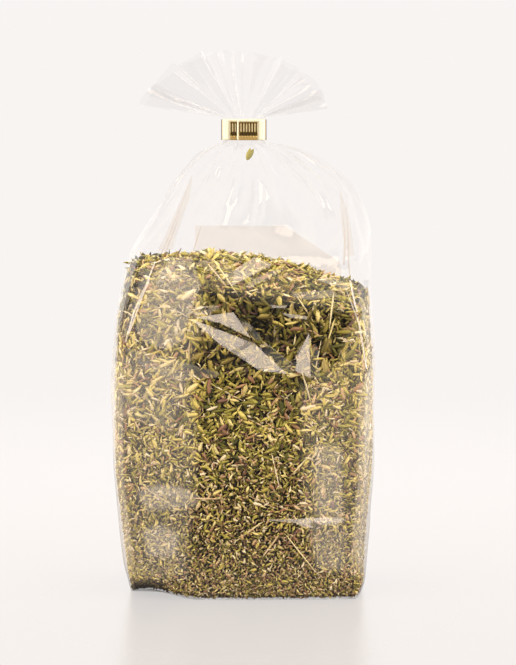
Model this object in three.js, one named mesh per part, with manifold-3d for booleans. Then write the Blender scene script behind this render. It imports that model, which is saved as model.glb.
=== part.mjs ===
// A clear film bag of dried thyme leaves, gathered at the neck and closed with a stamped gold clip.
// Millimetres, +Z up, the bag stands on z = 0 and its front faces -Y. The origin is the middle of its base.

import * as THREE from "three";
import { ConvexGeometry } from "three/addons/geometries/ConvexGeometry.js";
import { mergeVertices } from "three/addons/utils/BufferGeometryUtils.js";
import Module from "manifold-3d";

const wasm = await Module();
wasm.setup();

// The bag's outline by height, in the middle of the film: half width, half depth, how far the section
// stands to the right of the origin, and how round it is, from 0 for a rectangle to 1 for an ellipse.
const BAG_LEVELS = [
  { z: 0.3, width: 45.0, depth: 25.5, shift: 0.4, round: 0.3 },
  { z: 3.0, width: 47.4, depth: 28.0, shift: 0.6, round: 0.26 },
  { z: 12, width: 48.8, depth: 29.2, shift: 0.4, round: 0.24 },
  { z: 28, width: 50.4, depth: 29.8, shift: 0.2, round: 0.22 },
  { z: 55, width: 52.6, depth: 30.8, shift: 0, round: 0.22 },
  { z: 80, width: 52.6, depth: 30.8, shift: 0, round: 0.22 },
  { z: 105, width: 51.4, depth: 30.0, shift: 0, round: 0.24 },
  { z: 120, width: 49.6, depth: 28.0, shift: 0.6, round: 0.3 },
  { z: 133, width: 47.8, depth: 24.8, shift: 1.8, round: 0.38 },
  { z: 144, width: 44.4, depth: 21.4, shift: 3.9, round: 0.5 },
  { z: 154, width: 40.0, depth: 17.8, shift: 6.0, round: 0.65 },
  { z: 162, width: 34.8, depth: 14.6, shift: 6.3, round: 0.8 },
  { z: 169, width: 27.8, depth: 11.4, shift: 4.8, round: 0.9 },
  { z: 175, width: 20.5, depth: 8.0, shift: 3.4, round: 1 },
  { z: 178, width: 13.0, depth: 5.2, shift: 1.6, round: 1 },
  { z: 179.4, width: 7.3, depth: 3.1, shift: -0.4, round: 1 },
  { z: 188.6, width: 7.3, depth: 3.1, shift: -0.4, round: 1 },
];
const BASE = BAG_LEVELS[0];
const NECK = BAG_LEVELS.at(-1);
const FILM_THICKNESS = 0.6;
const BASE_FLAT_SHARE = 0.88; // of the base's outline, inside which the base lies flat
const LIFTED_CORNER = { rise: 4, reach: 0.6, height: 14 }; // the front left corner, folded clear of the table

// The film's strips round one ring: those of each side, and those of the front and the back.
const SIDE_STRIPS = 12;
const FRONT_STRIPS = 20;
const RING_STRIPS = 2 * (SIDE_STRIPS + FRONT_STRIPS);

// The gathered neck, and the fan of loose film above the clip.
const PLEATS = 16;
const NECK_PLEAT_SHARE = 0.09; // of the section's size
const PLEATS_START = 150;
const FAN_ROWS = 4;
const FAN_HALF_ANGLE = THREE.MathUtils.degToRad(82);
const FAN_LENGTH = { middle: 25.5, left: 33, right: 25.5 };
const FAN_SPREAD = 1.5; // how much deeper the rim is than the neck, less one
const FAN_PLEAT_DEPTH = 2.3;

// The heap of leaves. Pressed leaves tile its sides and top as ridged lozenges, twice as large as life,
// with their edges sunk and their ridges near the film. Loose leaves and stalks stand out of the top.
const HEAP_GAP = 0.6; // between the film and the furthest leaf
const HEAP_FLOOR = 1.7;
const HEAP_TOP = { rim: 123.2, crown: 9, leanBack: 0.16, fallRight: 0.12, rows: 5 };
const PRESSED_LEAF = { edge: 7.3, wander: 0.2, sunkLeast: 1.5, sunkMost: 2.6, ridgeSunkMost: 0.7 };
const RIDGE_ENDS = [0.3, 0.75]; // along a pressed leaf, from tip to tip
const LOOSE_LEAF = { length: 11, width: 4.8, thickness: 1.5, sizeSpread: 0.22, tilt: 0.8, sunkMost: 1.4 };
const LOOSE_LEAF_GRID = { spacing: 8, wander: 0.3 };
const STALK = { length: 21, radius: 0.65, tipRadius: 0.5, sides: 5, tilt: 0.55, sunk: 0.6 };
const STALK_PLACES = { count: 9, spread: 0.6 };

// A leaf blade's outline: shares of its half length from the stalk end, and of its half width.
const BLADE = { widest: -0.3, shoulder: 0.45, shoulderWidth: 0.75, ribFrom: -0.35, ribTo: 0.4 };

// The leaf that clings inside the neck.
const NECK_LEAF = { length: 5.4, width: 2.4, thickness: 0.8, x: 1.9, z: 174.3, lean: 0.35, inset: 1.5 };

// The clip: a strip wrapped round the neck, its outer end lapping over the inner one at the front.
const CLIP = { bottom: 180, height: 8, thickness: 0.5, halfWidth: 8.6, halfDepth: 4.3 };
const CLIP_BEND = { reach: 3.2, steps: 8 };
const CLIP_LAP = { outerEnd: -2.6, innerEnd: 4.2, gap: 0.35 };
const CLIP_RIBS = { pitch: 1.3, depth: 0.16, border: 1.25, sink: 0.05 };

const LEAF_SEED = 7;

const MATERIALS = {
  film: new THREE.MeshStandardMaterial({
    color: "#f4f1ec",
    roughness: 0.08,
    transparent: true,
    opacity: 0.25,
  }),
  thyme: new THREE.MeshStandardMaterial({ color: "#8a7a3c", roughness: 0.9 }),
  gold: new THREE.MeshStandardMaterial({ color: "#c9a545", roughness: 0.22, metalness: 1 }),
};

const { lerp, smoothstep, clamp } = THREE.MathUtils;

// Repeatable random numbers from 0 to 1.
function randomNumbers(seed) {
  let state = seed >>> 0;
  return () => {
    state = (state + 0x6d2b79f5) >>> 0;
    let mixed = Math.imul(state ^ (state >>> 15), state | 1);
    mixed ^= mixed + Math.imul(mixed ^ (mixed >>> 7), mixed | 61);
    return ((mixed ^ (mixed >>> 14)) >>> 0) / 2 ** 32;
  };
}

const random = randomNumbers(LEAF_SEED);
const between = (low, high) => lerp(low, high, random());
const spread = (most) => between(-most, most);

// A list in a random order.
function shuffled(list) {
  const mixed = [...list];
  for (let last = mixed.length - 1; last > 0; last--) {
    const other = Math.floor(random() * (last + 1));
    [mixed[last], mixed[other]] = [mixed[other], mixed[last]];
  }
  return mixed;
}

// A closed geometry made from points and triangles of their indices.
function geometryOf(points, triangles) {
  const geometry = new THREE.BufferGeometry().setFromPoints(points);
  return geometry.setIndex(triangles.flat());
}

// A solid for joining, made from any closed geometry.
function solidOf(geometry) {
  const bare = geometry.clone();
  bare.deleteAttribute("normal");
  bare.deleteAttribute("uv");
  const merged = mergeVertices(bare);
  const mesh = new wasm.Mesh({
    numProp: 3,
    vertProperties: merged.attributes.position.array,
    triVerts: new Uint32Array(merged.index.array),
  });
  return new wasm.Manifold(mesh);
}

// Several overlapping closed geometries joined into one.
function joined(geometries) {
  const mesh = wasm.Manifold.union(geometries.map(solidOf)).getMesh();
  const geometry = new THREE.BufferGeometry();
  geometry.setAttribute("position", new THREE.BufferAttribute(mesh.vertProperties, 3));
  return geometry.setIndex(new THREE.BufferAttribute(mesh.triVerts, 1));
}

// The point at a share of the way round a square of half side 1, from the middle of its right side
// round by the back. The sides and the front have the same shares as the film's strips.
function squarePoint(share) {
  const strip = (((share % 1) + 1) % 1) * RING_STRIPS;
  const half = SIDE_STRIPS / 2;
  if (strip < half) return [1, strip / half];
  if (strip < half + FRONT_STRIPS) return [1 - (2 * (strip - half)) / FRONT_STRIPS, 1];
  if (strip < 3 * half + FRONT_STRIPS) return [-1, 1 - (strip - half - FRONT_STRIPS) / half];
  if (strip < 3 * half + 2 * FRONT_STRIPS) {
    return [-1 + (2 * (strip - 3 * half - FRONT_STRIPS)) / FRONT_STRIPS, -1];
  }
  return [1, (strip - RING_STRIPS) / half];
}

// The bag's section at a height, straight between the levels.
function sectionAt(z) {
  const upper = clamp(BAG_LEVELS.findIndex((level) => level.z >= z), 1, BAG_LEVELS.length - 1);
  const [low, high] = [BAG_LEVELS[upper - 1], BAG_LEVELS[upper]];
  const share = clamp((z - low.z) / (high.z - low.z), 0, 1);
  const mixed = (key) => lerp(low[key], high[key], share);
  return { width: mixed("width"), depth: mixed("depth"), shift: mixed("shift"), round: mixed("round") };
}

// How far the film is lifted off the table at a place on its outline.
function cornerLift(u, v, z) {
  const fromCorner = Math.hypot(u + 1, v + 1);
  const fade = 1 - smoothstep(z, 0, LIFTED_CORNER.height);
  return LIFTED_CORNER.rise * (1 - smoothstep(fromCorner, 0, LIFTED_CORNER.reach)) * fade;
}

// A point of the bag at a share of the way round and a height, moved in by inset from the film's middle.
function bagPoint(share, z, inset = 0, scale = 1) {
  const [u, v] = squarePoint(share);
  const { width, depth, shift, round } = sectionAt(z);
  const gathered = smoothstep(z, PLEATS_START, CLIP.bottom) * NECK_PLEAT_SHARE;
  const pleat = 1 + gathered * Math.cos(2 * Math.PI * PLEATS * share);
  const x = (width * pleat - inset) * u * Math.sqrt(1 - (round * v * v) / 2);
  const y = (depth * pleat - inset) * v * Math.sqrt(1 - (round * u * u) / 2);
  return new THREE.Vector3(shift + scale * x, scale * y, z + cornerLift(scale * u, scale * v, z));
}

// A point of the fan above the clip, from its root at out = 0 to its rim at out = 1.
function fanPoint(share, out) {
  const root = bagPoint(share, NECK.z);
  const sideways = clamp((root.x - NECK.shift) / (NECK.width * (1 + NECK_PLEAT_SHARE)), -1, 1);
  const side = sideways < 0 ? FAN_LENGTH.left : FAN_LENGTH.right;
  const reach = out * lerp(FAN_LENGTH.middle, side, Math.abs(sideways));
  const angle = sideways * FAN_HALF_ANGLE;
  const wave = FAN_PLEAT_DEPTH * out * Math.cos(2 * Math.PI * PLEATS * share);
  return new THREE.Vector3(
    root.x + reach * Math.sin(angle),
    root.y * (1 + FAN_SPREAD * out) + wave,
    NECK.z + reach * Math.cos(angle),
  );
}

// The clear film, one folded and gathered sheet: its middle surface as rings of points from the base
// to the fan's rim, given a thickness both ways. The neck stays open along the pleats.
function bagFilm() {
  const shares = Array.from({ length: RING_STRIPS }, (_, i) => i / RING_STRIPS);
  const fanRows = Array.from({ length: FAN_ROWS }, (_, row) => (row + 1) / FAN_ROWS);
  const rings = [
    shares.map((share) => bagPoint(share, BASE.z, 0, BASE_FLAT_SHARE)),
    ...BAG_LEVELS.map(({ z }) => shares.map((share) => bagPoint(share, z))),
    ...fanRows.map((out) => shares.map((share) => fanPoint(share, out))),
  ];
  const down = new THREE.Vector3(0, 0, -1);
  const outward = rings.map((ring, row) =>
    ring.map((point, i) => {
      if (row === 0) return down;
      const along = ring[(i + 1) % RING_STRIPS].clone().sub(ring.at(i - 1));
      const upper = rings[Math.min(row + 1, rings.length - 1)][i];
      const up = upper.clone().sub(rings[row - 1][i]);
      return along.cross(up).normalize();
    }),
  );
  const face = (sense) =>
    rings.flatMap((ring, row) =>
      ring.map((point, i) => point.clone().addScaledVector(outward[row][i], (sense * FILM_THICKNESS) / 2)),
    );
  const centre = new THREE.Vector3(BASE.shift, 0, BASE.z);
  const centres = [1, -1].map((sense) => centre.clone().addScaledVector(down, (sense * FILM_THICKNESS) / 2));
  const points = [...face(1), ...face(-1), ...centres];
  const inner = rings.length * RING_STRIPS;
  const [outerCentre, innerCentre] = [points.length - 2, points.length - 1];
  const triangles = [];
  const lastRow = (rings.length - 1) * RING_STRIPS;
  for (let i = 0; i < RING_STRIPS; i++) {
    const next = (i + 1) % RING_STRIPS;
    triangles.push([outerCentre, next, i], [innerCentre, inner + i, inner + next]);
    for (let row = 0; row < lastRow; row += RING_STRIPS) {
      const [a, b, c, d] = [row + i, row + next, row + RING_STRIPS + next, row + RING_STRIPS + i];
      triangles.push([a, b, c], [a, c, d]);
      triangles.push([inner + a, inner + c, inner + b], [inner + a, inner + d, inner + c]);
    }
    const [a, b] = [lastRow + i, lastRow + next];
    triangles.push([a, b, inner + b], [a, inner + b, inner + a]);
  }
  return geometryOf(points, triangles);
}

// The height of the heap's top: a low crown that leans to the back and falls away to the right.
function heapTop(x, y) {
  const { width, depth } = sectionAt(HEAP_TOP.rim);
  const fromMiddle = Math.min(1, Math.hypot(x / width, y / depth));
  const crown = HEAP_TOP.crown * (1 - fromMiddle * fromMiddle);
  return HEAP_TOP.rim + crown + HEAP_TOP.leanBack * y - HEAP_TOP.fallRight * x;
}

// A place on the heap's skin, and the way in from it. The side runs from the floor at rise = 0 to the
// rim at rise = 1, and the top runs on from there to the crown at rise = 2.
function heapPlace(share, rise) {
  const inset = FILM_THICKNESS / 2 + HEAP_GAP;
  const rim = bagPoint(share, HEAP_TOP.rim, inset);
  if (rise > 1) {
    const [x, y] = [rim.x * (2 - rise), rim.y * (2 - rise)];
    return { share, at: new THREE.Vector3(x, y, heapTop(x, y)), inward: new THREE.Vector3(0, 0, -1) };
  }
  const height = lerp(HEAP_FLOOR, heapTop(rim.x, rim.y), rise);
  const at = bagPoint(share, height, inset);
  return { share, at, inward: bagPoint(share, height, inset + 1).sub(at) };
}

// The heap's places, in rings from the floor up the side and over the top, with fewer in the inner rings.
function heapRings() {
  const [width, depth] = ["width", "depth"].map((key) => Math.max(...BAG_LEVELS.map((level) => level[key])));
  const columns = Math.round((4 * (width + depth)) / PRESSED_LEAF.edge);
  const rowHeight = PRESSED_LEAF.edge * Math.sin(Math.PI / 3);
  const sideRows = Math.round((HEAP_TOP.rim - HEAP_FLOOR) / rowHeight);
  return Array.from({ length: sideRows + HEAP_TOP.rows }, (_, row) => {
    const inTop = Math.max(0, row - sideRows) / HEAP_TOP.rows;
    const count = Math.round(columns * (1 - inTop));
    const onEdge = row === 0 || row === sideRows;
    const wander = onEdge ? 0 : PRESSED_LEAF.wander;
    return Array.from({ length: count }, (__, i) => {
      const share = (i + (row % 2) / 2 + spread(wander)) / count;
      const rise = inTop ? 1 + inTop : (row + spread(wander)) / sideRows;
      return heapPlace(share, rise);
    });
  });
}

// The triangles between two rings of places, walking round both at once by their shares.
function zipped(lower, upper) {
  const at = (ring, i) => ring[i % ring.length];
  const shareAt = (ring, i) => at(ring, i).share + Math.floor(i / ring.length);
  const triangles = [];
  let [i, j] = [0, 0];
  while (i < lower.length || j < upper.length) {
    const lowerIsNext = shareAt(lower, i + 1) <= shareAt(upper, j + 1);
    if (j === upper.length || (i < lower.length && lowerIsNext)) {
      triangles.push([at(lower, i), at(lower, i + 1), at(upper, j)]);
      i++;
    } else {
      triangles.push([at(lower, i), at(upper, j + 1), at(upper, j)]);
      j++;
    }
  }
  return triangles;
}

// Triangles paired at random across a shared edge. Each pair is one pressed leaf, [tip, side, tip, side],
// and a triangle that is left over is a broken piece of one.
function pairedLeaves(triangles) {
  const owners = new Map();
  const edgesOf = (triangle) => triangle.map((corner, i) => [corner, triangle[(i + 1) % 3]]);
  const keyOf = (edge) => edge.map((corner) => corner.index).sort((a, b) => a - b).join(" ");
  for (const triangle of triangles) {
    for (const edge of edgesOf(triangle)) {
      const key = keyOf(edge);
      owners.set(key, [...(owners.get(key) ?? []), triangle]);
    }
  }
  const free = new Set(triangles);
  const leaves = [];
  for (const triangle of shuffled(triangles)) {
    if (!free.has(triangle)) continue;
    const neighbours = edgesOf(triangle).flatMap((edge) => owners.get(keyOf(edge)));
    const [partner] = shuffled(neighbours.filter((other) => other !== triangle && free.has(other)));
    if (!partner) continue;
    const tip = triangle.findIndex((corner) => !partner.includes(corner));
    const farTip = partner.find((corner) => !triangle.includes(corner));
    leaves.push([triangle[tip], triangle[(tip + 1) % 3], farTip, triangle[(tip + 2) % 3]]);
    free.delete(triangle);
    free.delete(partner);
  }
  return { leaves, pieces: [...free] };
}

// The heap's body: its sides and top tiled with ridged leaves, and a flat floor.
function heapBody() {
  const rings = heapRings();
  const points = [];
  const added = (place, sunk) => {
    points.push(place.at.clone().addScaledVector(place.inward, sunk));
    return points.length - 1;
  };
  const mean = (places, weights) => {
    const sum = (key) =>
      places.reduce((total, place, i) => total.addScaledVector(place[key], weights[i]), new THREE.Vector3());
    return { at: sum("at"), inward: sum("inward") };
  };
  const ridge = (places, weights) => added(mean(places, weights), between(0, PRESSED_LEAF.ridgeSunkMost));
  const crown = heapPlace(0, 2);
  for (const place of [...rings.flat(), crown]) {
    place.index = added(place, between(PRESSED_LEAF.sunkLeast, PRESSED_LEAF.sunkMost));
  }
  const lastRing = rings.at(-1);
  const skin = rings.slice(1).flatMap((ring, row) => zipped(rings[row], ring));
  skin.push(...lastRing.map((place, i) => [place, lastRing[(i + 1) % lastRing.length], crown]));
  const { leaves, pieces } = pairedLeaves(skin);
  const triangles = [];
  for (const [tip, right, farTip, left] of leaves) {
    const [near, far] = RIDGE_ENDS.map((along) => ridge([tip, farTip], [1 - along, along]));
    const [a, b, c, d] = [tip, right, farTip, left].map((place) => place.index);
    triangles.push([a, b, near], [near, b, far], [far, b, c]);
    triangles.push([c, d, far], [far, d, near], [near, d, a]);
  }
  for (const corners of pieces) {
    const peak = ridge(corners, [1 / 3, 1 / 3, 1 / 3]);
    const [a, b, c] = corners.map((place) => place.index);
    triangles.push([a, b, peak], [b, c, peak], [c, a, peak]);
  }
  const floor = points.push(new THREE.Vector3(0, 0, HEAP_FLOOR)) - 1;
  rings[0].forEach((place, i) => {
    triangles.push([rings[0][(i + 1) % rings[0].length].index, place.index, floor]);
  });
  return geometryOf(points, triangles);
}

// One leaf as a slim lens: pointed at both ends, widest before the middle, with a raised midrib.
function leaf({ length, width, thickness }) {
  const [half, side, rib] = [length / 2, width / 2, thickness / 2];
  const shoulder = BLADE.shoulderWidth * side;
  return new ConvexGeometry([
    new THREE.Vector3(-half, 0, 0),
    new THREE.Vector3(half, 0, 0),
    new THREE.Vector3(BLADE.widest * half, side, 0),
    new THREE.Vector3(BLADE.widest * half, -side, 0),
    new THREE.Vector3(BLADE.shoulder * half, shoulder, 0),
    new THREE.Vector3(BLADE.shoulder * half, -shoulder, 0),
    new THREE.Vector3(BLADE.ribFrom * half, 0, rib),
    new THREE.Vector3(BLADE.ribTo * half, 0, rib),
    new THREE.Vector3(0, 0, -rib),
  ]);
}

// A geometry turned at random, tilted no more than tilt each way, and sunk into the heap's top.
function laidOnTop(geometry, x, y, sunk, tilt) {
  const turn = new THREE.Euler(spread(tilt), spread(tilt), between(0, 2 * Math.PI), "ZYX");
  const place = new THREE.Matrix4().makeRotationFromEuler(turn);
  place.setPosition(x, y, heapTop(x, y) - sunk);
  return geometry.applyMatrix4(place);
}

// The heap: its body with loose leaves and bits of stalk standing out of the top.
function thymeHeap() {
  const pieces = [heapBody()];
  const { width, depth, shift } = sectionAt(HEAP_TOP.rim);
  const [reachX, reachY] = [width - LOOSE_LEAF.length, depth - LOOSE_LEAF.length];
  const { spacing, wander } = LOOSE_LEAF_GRID;
  const astray = spacing * wander;
  for (let x = -reachX; x <= reachX; x += spacing) {
    for (let y = -reachY; y <= reachY; y += spacing) {
      const size = 1 + spread(LOOSE_LEAF.sizeSpread);
      const blade = leaf({
        length: LOOSE_LEAF.length * size,
        width: LOOSE_LEAF.width * size,
        thickness: LOOSE_LEAF.thickness,
      });
      const [atX, atY] = [shift + x + spread(astray), y + spread(astray)];
      pieces.push(laidOnTop(blade, atX, atY, between(0, LOOSE_LEAF.sunkMost), LOOSE_LEAF.tilt));
    }
  }
  for (let i = 0; i < STALK_PLACES.count; i++) {
    const stalk = new THREE.CylinderGeometry(STALK.radius, STALK.tipRadius, STALK.length, STALK.sides);
    stalk.rotateZ(Math.PI / 2);
    const [x, y] = [shift + spread(STALK_PLACES.spread) * reachX, spread(STALK_PLACES.spread) * reachY];
    pieces.push(laidOnTop(stalk, x, y, STALK.sunk, STALK.tilt));
  }
  return joined(pieces);
}

// The stray leaf, upright against the inside of the front film, below the clip.
function neckLeaf() {
  const { length, x, z, lean, inset } = NECK_LEAF;
  const wall = (height) => inset - sectionAt(height).depth * (1 - NECK_PLEAT_SHARE);
  const rise = new THREE.Vector3(0, wall(z + length / 2) - wall(z - length / 2), length).normalize();
  const across = new THREE.Vector3(1, 0, 0);
  const out = new THREE.Vector3().crossVectors(across, rise);
  const along = rise.clone().multiplyScalar(Math.cos(lean)).addScaledVector(across, Math.sin(lean));
  const sideways = new THREE.Vector3().crossVectors(out, along);
  const place = new THREE.Matrix4().makeBasis(along, sideways, out).setPosition(x, wall(z), z);
  return leaf(NECK_LEAF).applyMatrix4(place);
}

// The wrapped strip's middle line, seen from above, from its hidden inner end at the front, round by
// the left, the back and the right to its outer end. Each place has a note of whether it lies flat.
function clipLine() {
  const { halfWidth, halfDepth, thickness } = CLIP;
  const outer = halfDepth + thickness + CLIP_LAP.gap;
  const straight = (fromX, toX, y) => {
    const steps = Math.round(Math.abs(toX - fromX) / (CLIP_RIBS.pitch / 2));
    return Array.from({ length: steps + 1 }, (_, i) => {
      return { at: new THREE.Vector2(lerp(fromX, toX, i / steps), y), flat: i > 0 && i < steps };
    });
  };
  const turned = (x, fromY, toY, sense) => {
    const middle = (fromY + toY) / 2;
    const radius = (fromY - toY) / 2;
    return Array.from({ length: CLIP_BEND.steps - 1 }, (_, i) => {
      const angle = ((i + 1) * Math.PI) / CLIP_BEND.steps;
      const out = sense * CLIP_BEND.reach * Math.sin(angle);
      return { at: new THREE.Vector2(x + out, middle + radius * Math.cos(angle)), flat: false };
    });
  };
  const flatReach = halfWidth - CLIP_BEND.reach + thickness / 2;
  return [
    ...straight(CLIP_LAP.innerEnd, -flatReach, -halfDepth),
    ...turned(-flatReach, -halfDepth, halfDepth, -1),
    ...straight(-flatReach, flatReach, halfDepth),
    ...turned(flatReach, halfDepth, -outer, 1),
    ...straight(flatReach, CLIP_LAP.outerEnd, -outer),
  ];
}

// A band of the clip, ribbed on its outside or plain, between two heights.
function clipBand(ribbed, low, high) {
  const line = clipLine();
  const sides = { outside: [], inside: [] };
  line.forEach(({ at, flat }, i) => {
    const before = line[Math.max(i - 1, 0)].at;
    const after = line[Math.min(i + 1, line.length - 1)].at;
    const along = after.clone().sub(before).normalize();
    const out = new THREE.Vector2(-along.y, along.x);
    const cut = ribbed && flat && i % 2 ? CLIP_RIBS.depth : 0;
    sides.outside.push(at.clone().addScaledVector(out, CLIP.thickness / 2 - cut));
    sides.inside.unshift(at.clone().addScaledVector(out, -CLIP.thickness / 2));
  });
  const outline = new THREE.Shape([...sides.outside, ...sides.inside]);
  const band = new THREE.ExtrudeGeometry(outline, { depth: high - low, bevelEnabled: false });
  return band.translate(NECK.shift, 0, CLIP.bottom + low);
}

// The clip: a ribbed middle between two plain borders.
function clip() {
  const { border, sink } = CLIP_RIBS;
  return joined([
    clipBand(false, 0, border),
    clipBand(true, border - sink, CLIP.height - border + sink),
    clipBand(false, CLIP.height - border, CLIP.height),
  ]);
}

// One named piece of the bag.
function part(name, geometry, material) {
  const mesh = new THREE.Mesh(geometry, material);
  mesh.name = name;
  return mesh;
}

const thymeBag = new THREE.Group();
thymeBag.name = "thyme_bag";
thymeBag.add(
  part("bag_film", bagFilm(), MATERIALS.film),
  part("thyme_leaves", thymeHeap(), MATERIALS.thyme),
  part("neck_leaf", neckLeaf(), MATERIALS.thyme),
  part("clip_band", clip(), MATERIALS.gold),
);

export default thymeBag;
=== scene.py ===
"""Looks of a clear film bag of dried thyme leaves, gathered at the neck and closed by a ribbed gold clip.

Sizes are in millimetres until a mesh is made, and meshes are in metres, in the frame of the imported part.
"""

from __future__ import annotations

import logging
import math
from dataclasses import dataclass, fields
from enum import Enum
from itertools import product
from typing import ClassVar

import bmesh
import bpy
import numpy as np
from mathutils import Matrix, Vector

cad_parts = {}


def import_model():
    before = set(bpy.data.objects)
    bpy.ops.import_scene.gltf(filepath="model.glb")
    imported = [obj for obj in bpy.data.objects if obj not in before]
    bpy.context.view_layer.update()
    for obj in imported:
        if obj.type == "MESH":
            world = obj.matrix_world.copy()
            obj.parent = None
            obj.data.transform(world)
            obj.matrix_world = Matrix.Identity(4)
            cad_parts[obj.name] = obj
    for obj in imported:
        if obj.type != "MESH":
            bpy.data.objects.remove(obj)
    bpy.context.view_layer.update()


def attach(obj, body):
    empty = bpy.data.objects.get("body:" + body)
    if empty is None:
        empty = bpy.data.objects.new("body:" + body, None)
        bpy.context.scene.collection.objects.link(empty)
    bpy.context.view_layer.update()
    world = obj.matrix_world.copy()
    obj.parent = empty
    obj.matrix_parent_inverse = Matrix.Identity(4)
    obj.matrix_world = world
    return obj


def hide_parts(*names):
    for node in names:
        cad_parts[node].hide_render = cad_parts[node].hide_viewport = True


MM = 0.001
TAU = 2 * math.pi
BODY = "root"
# A leaf's shade in this map is painted shade and light.
LEAF_MAP = "OFBake"  # the UV map that holds a leaf's tone across and its shade upwards
TINY = 1e-6

log = logging.getLogger("thyme_bag")

Points = np.ndarray
Value = float | np.ndarray
Range = tuple[float, float]
Corners = tuple[tuple[float, float], ...]
Waves = tuple[tuple[float, int, Value], ...]


class Slot(Enum):
    """Material slots of the record."""

    FILM = "film"
    THYME = "thyme"
    GOLD = "gold"


class Node(Enum):
    """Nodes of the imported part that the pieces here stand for."""

    FILM = "bag_film"
    LEAVES = "thyme_leaves"
    STRAY = "neck_leaf"
    CLIP = "clip_band"


def linear(code: str) -> tuple[float, float, float, float]:
    """Turns an sRGB hex colour to linear RGBA.

    Args:
        code: The colour as "#rrggbb".

    Returns:
        The linear colour with an alpha of 1.
    """
    channels = [int(code[i : i + 2], 16) / 255 for i in (1, 3, 5)]
    red, green, blue = [c / 12.92 if c <= 0.04045 else ((c + 0.055) / 1.055) ** 2.4 for c in channels]
    return red, green, blue, 1.0


def smoothstep(value: Value, low: float, high: float) -> Value:
    """Gives 0 below low, 1 above high and a smooth rise between.

    Args:
        value: The value or values to test.
        low: Where the rise starts.
        high: Where the rise ends.

    Returns:
        Shares from 0 to 1, of the same shape as value.
    """
    share = np.clip((value - low) / (high - low), 0, 1)
    return share * share * (3 - 2 * share)


def triangle_wave(phase: Value) -> Value:
    """Gives a wave of straight flanks from -1 to 1, with one turn for each unit of phase."""
    return 4 * np.abs((phase % 1) - 0.5) - 1


def unit(vectors: Points) -> Points:
    """Scales vectors along the last axis to a length of 1."""
    return vectors / np.maximum(np.linalg.norm(vectors, axis=-1, keepdims=True), 1e-12)


def waves(share: np.ndarray, terms: Waves) -> np.ndarray:
    """Adds up sine waves round the bag, each of a height, a number of turns and a phase."""
    return sum(height * np.sin(TAU * turns * share + phase) for height, turns, phase in terms)


def add_node(
    tree: bpy.types.NodeTree, kind: str, settings: dict | None = None, inputs: dict | None = None
) -> bpy.types.Node:
    """Adds a shader node with its settings and links.

    Args:
        tree: The node tree.
        kind: The node's type name.
        settings: Properties of the node, and "stops" as (place, hex colour) pairs for a ramp.
        inputs: Values, sockets or nodes by the input's name or number. A node is linked by its first output.

    Returns:
        The new node.
    """
    node = tree.nodes.new(kind)
    for name, value in (settings or {}).items():
        if name != "stops":
            setattr(node, name, value)
            continue
        elements = node.color_ramp.elements
        while len(elements) < len(value):
            elements.new(1.0)
        for element, (place, code) in zip(elements, value):
            element.position = place
            element.color = linear(code)
    for name, value in (inputs or {}).items():
        source = value.outputs[0] if isinstance(value, bpy.types.Node) else value
        if isinstance(source, bpy.types.NodeSocket):
            tree.links.new(source, node.inputs[name])
        else:
            node.inputs[name].default_value = source
    return node


def new_material(name: str) -> tuple[bpy.types.Material, bpy.types.NodeTree]:
    """Makes a material with an empty node tree.

    Args:
        name: The common name of the real material.

    Returns:
        The material and its tree.
    """
    material = bpy.data.materials.new(name)
    material.use_nodes = True
    material.node_tree.nodes.clear()
    return material, material.node_tree


def add_object(name: str, data: bpy.types.ID) -> bpy.types.Object:
    """Puts a new object in the scene.

    Args:
        name: The object's name.
        data: Its mesh, light or camera.

    Returns:
        The new object.
    """
    thing = bpy.data.objects.new(name, data)
    bpy.context.scene.collection.objects.link(thing)
    return thing


def place_piece(
    name: str, mesh: bpy.types.Mesh, material: bpy.types.Material, node: Node
) -> bpy.types.Object:
    """Puts a finished mesh in the scene as a piece of the bag.

    Args:
        name: The piece's name.
        mesh: Its mesh, in metres.
        material: Its finish.
        node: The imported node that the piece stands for.

    Returns:
        The new object.
    """
    mesh.materials.append(material)
    piece = add_object(name, mesh)
    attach(piece, BODY)
    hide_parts(node.value)
    log.info("%s: %d faces", name, len(mesh.polygons))
    return piece


def mesh_of(form: bmesh.types.BMesh, name: str) -> bpy.types.Mesh:
    """Turns a finished bmesh to a mesh and frees it.

    Args:
        form: The finished bmesh.
        name: The mesh's name.

    Returns:
        The new mesh.
    """
    mesh = bpy.data.meshes.new(name)
    form.to_mesh(mesh)
    form.free()
    return mesh


def grid_mesh(name: str, across: int, up: int) -> tuple[bpy.types.Mesh, np.ndarray, np.ndarray]:
    """Makes a flat grid of quads to be shaped.

    Args:
        name: The mesh's name.
        across: Quads across.
        up: Quads up.

    Returns:
        The mesh, and each vertex's shares of the way across and up.
    """
    form = bmesh.new()
    bmesh.ops.create_grid(form, x_segments=across, y_segments=up, size=0.5)
    mesh = mesh_of(form, name)
    flat = vertices_of(mesh) + 0.5
    return mesh, flat[:, 0], flat[:, 1]


def vertices_of(mesh: bpy.types.Mesh) -> Points:
    """Reads the places of a mesh's vertices.

    Args:
        mesh: The mesh to read.

    Returns:
        One row for each vertex, in the mesh's own unit.
    """
    places = np.empty(len(mesh.vertices) * 3, np.float32)
    mesh.vertices.foreach_get("co", places)
    return places.reshape(-1, 3).astype(float)


def set_vertices(mesh: bpy.types.Mesh, places: Points) -> None:
    """Writes places in millimetres to a mesh's vertices in metres."""
    mesh.vertices.foreach_set("co", (places * MM).astype(np.float32).ravel())
    mesh.update()


def add_attribute(mesh: bpy.types.Mesh, name: str, values: np.ndarray) -> None:
    """Adds a number for each vertex to a mesh."""
    attribute = mesh.attributes.new(name, "FLOAT", "POINT")
    attribute.data.foreach_set("value", values.astype(np.float32))


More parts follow.
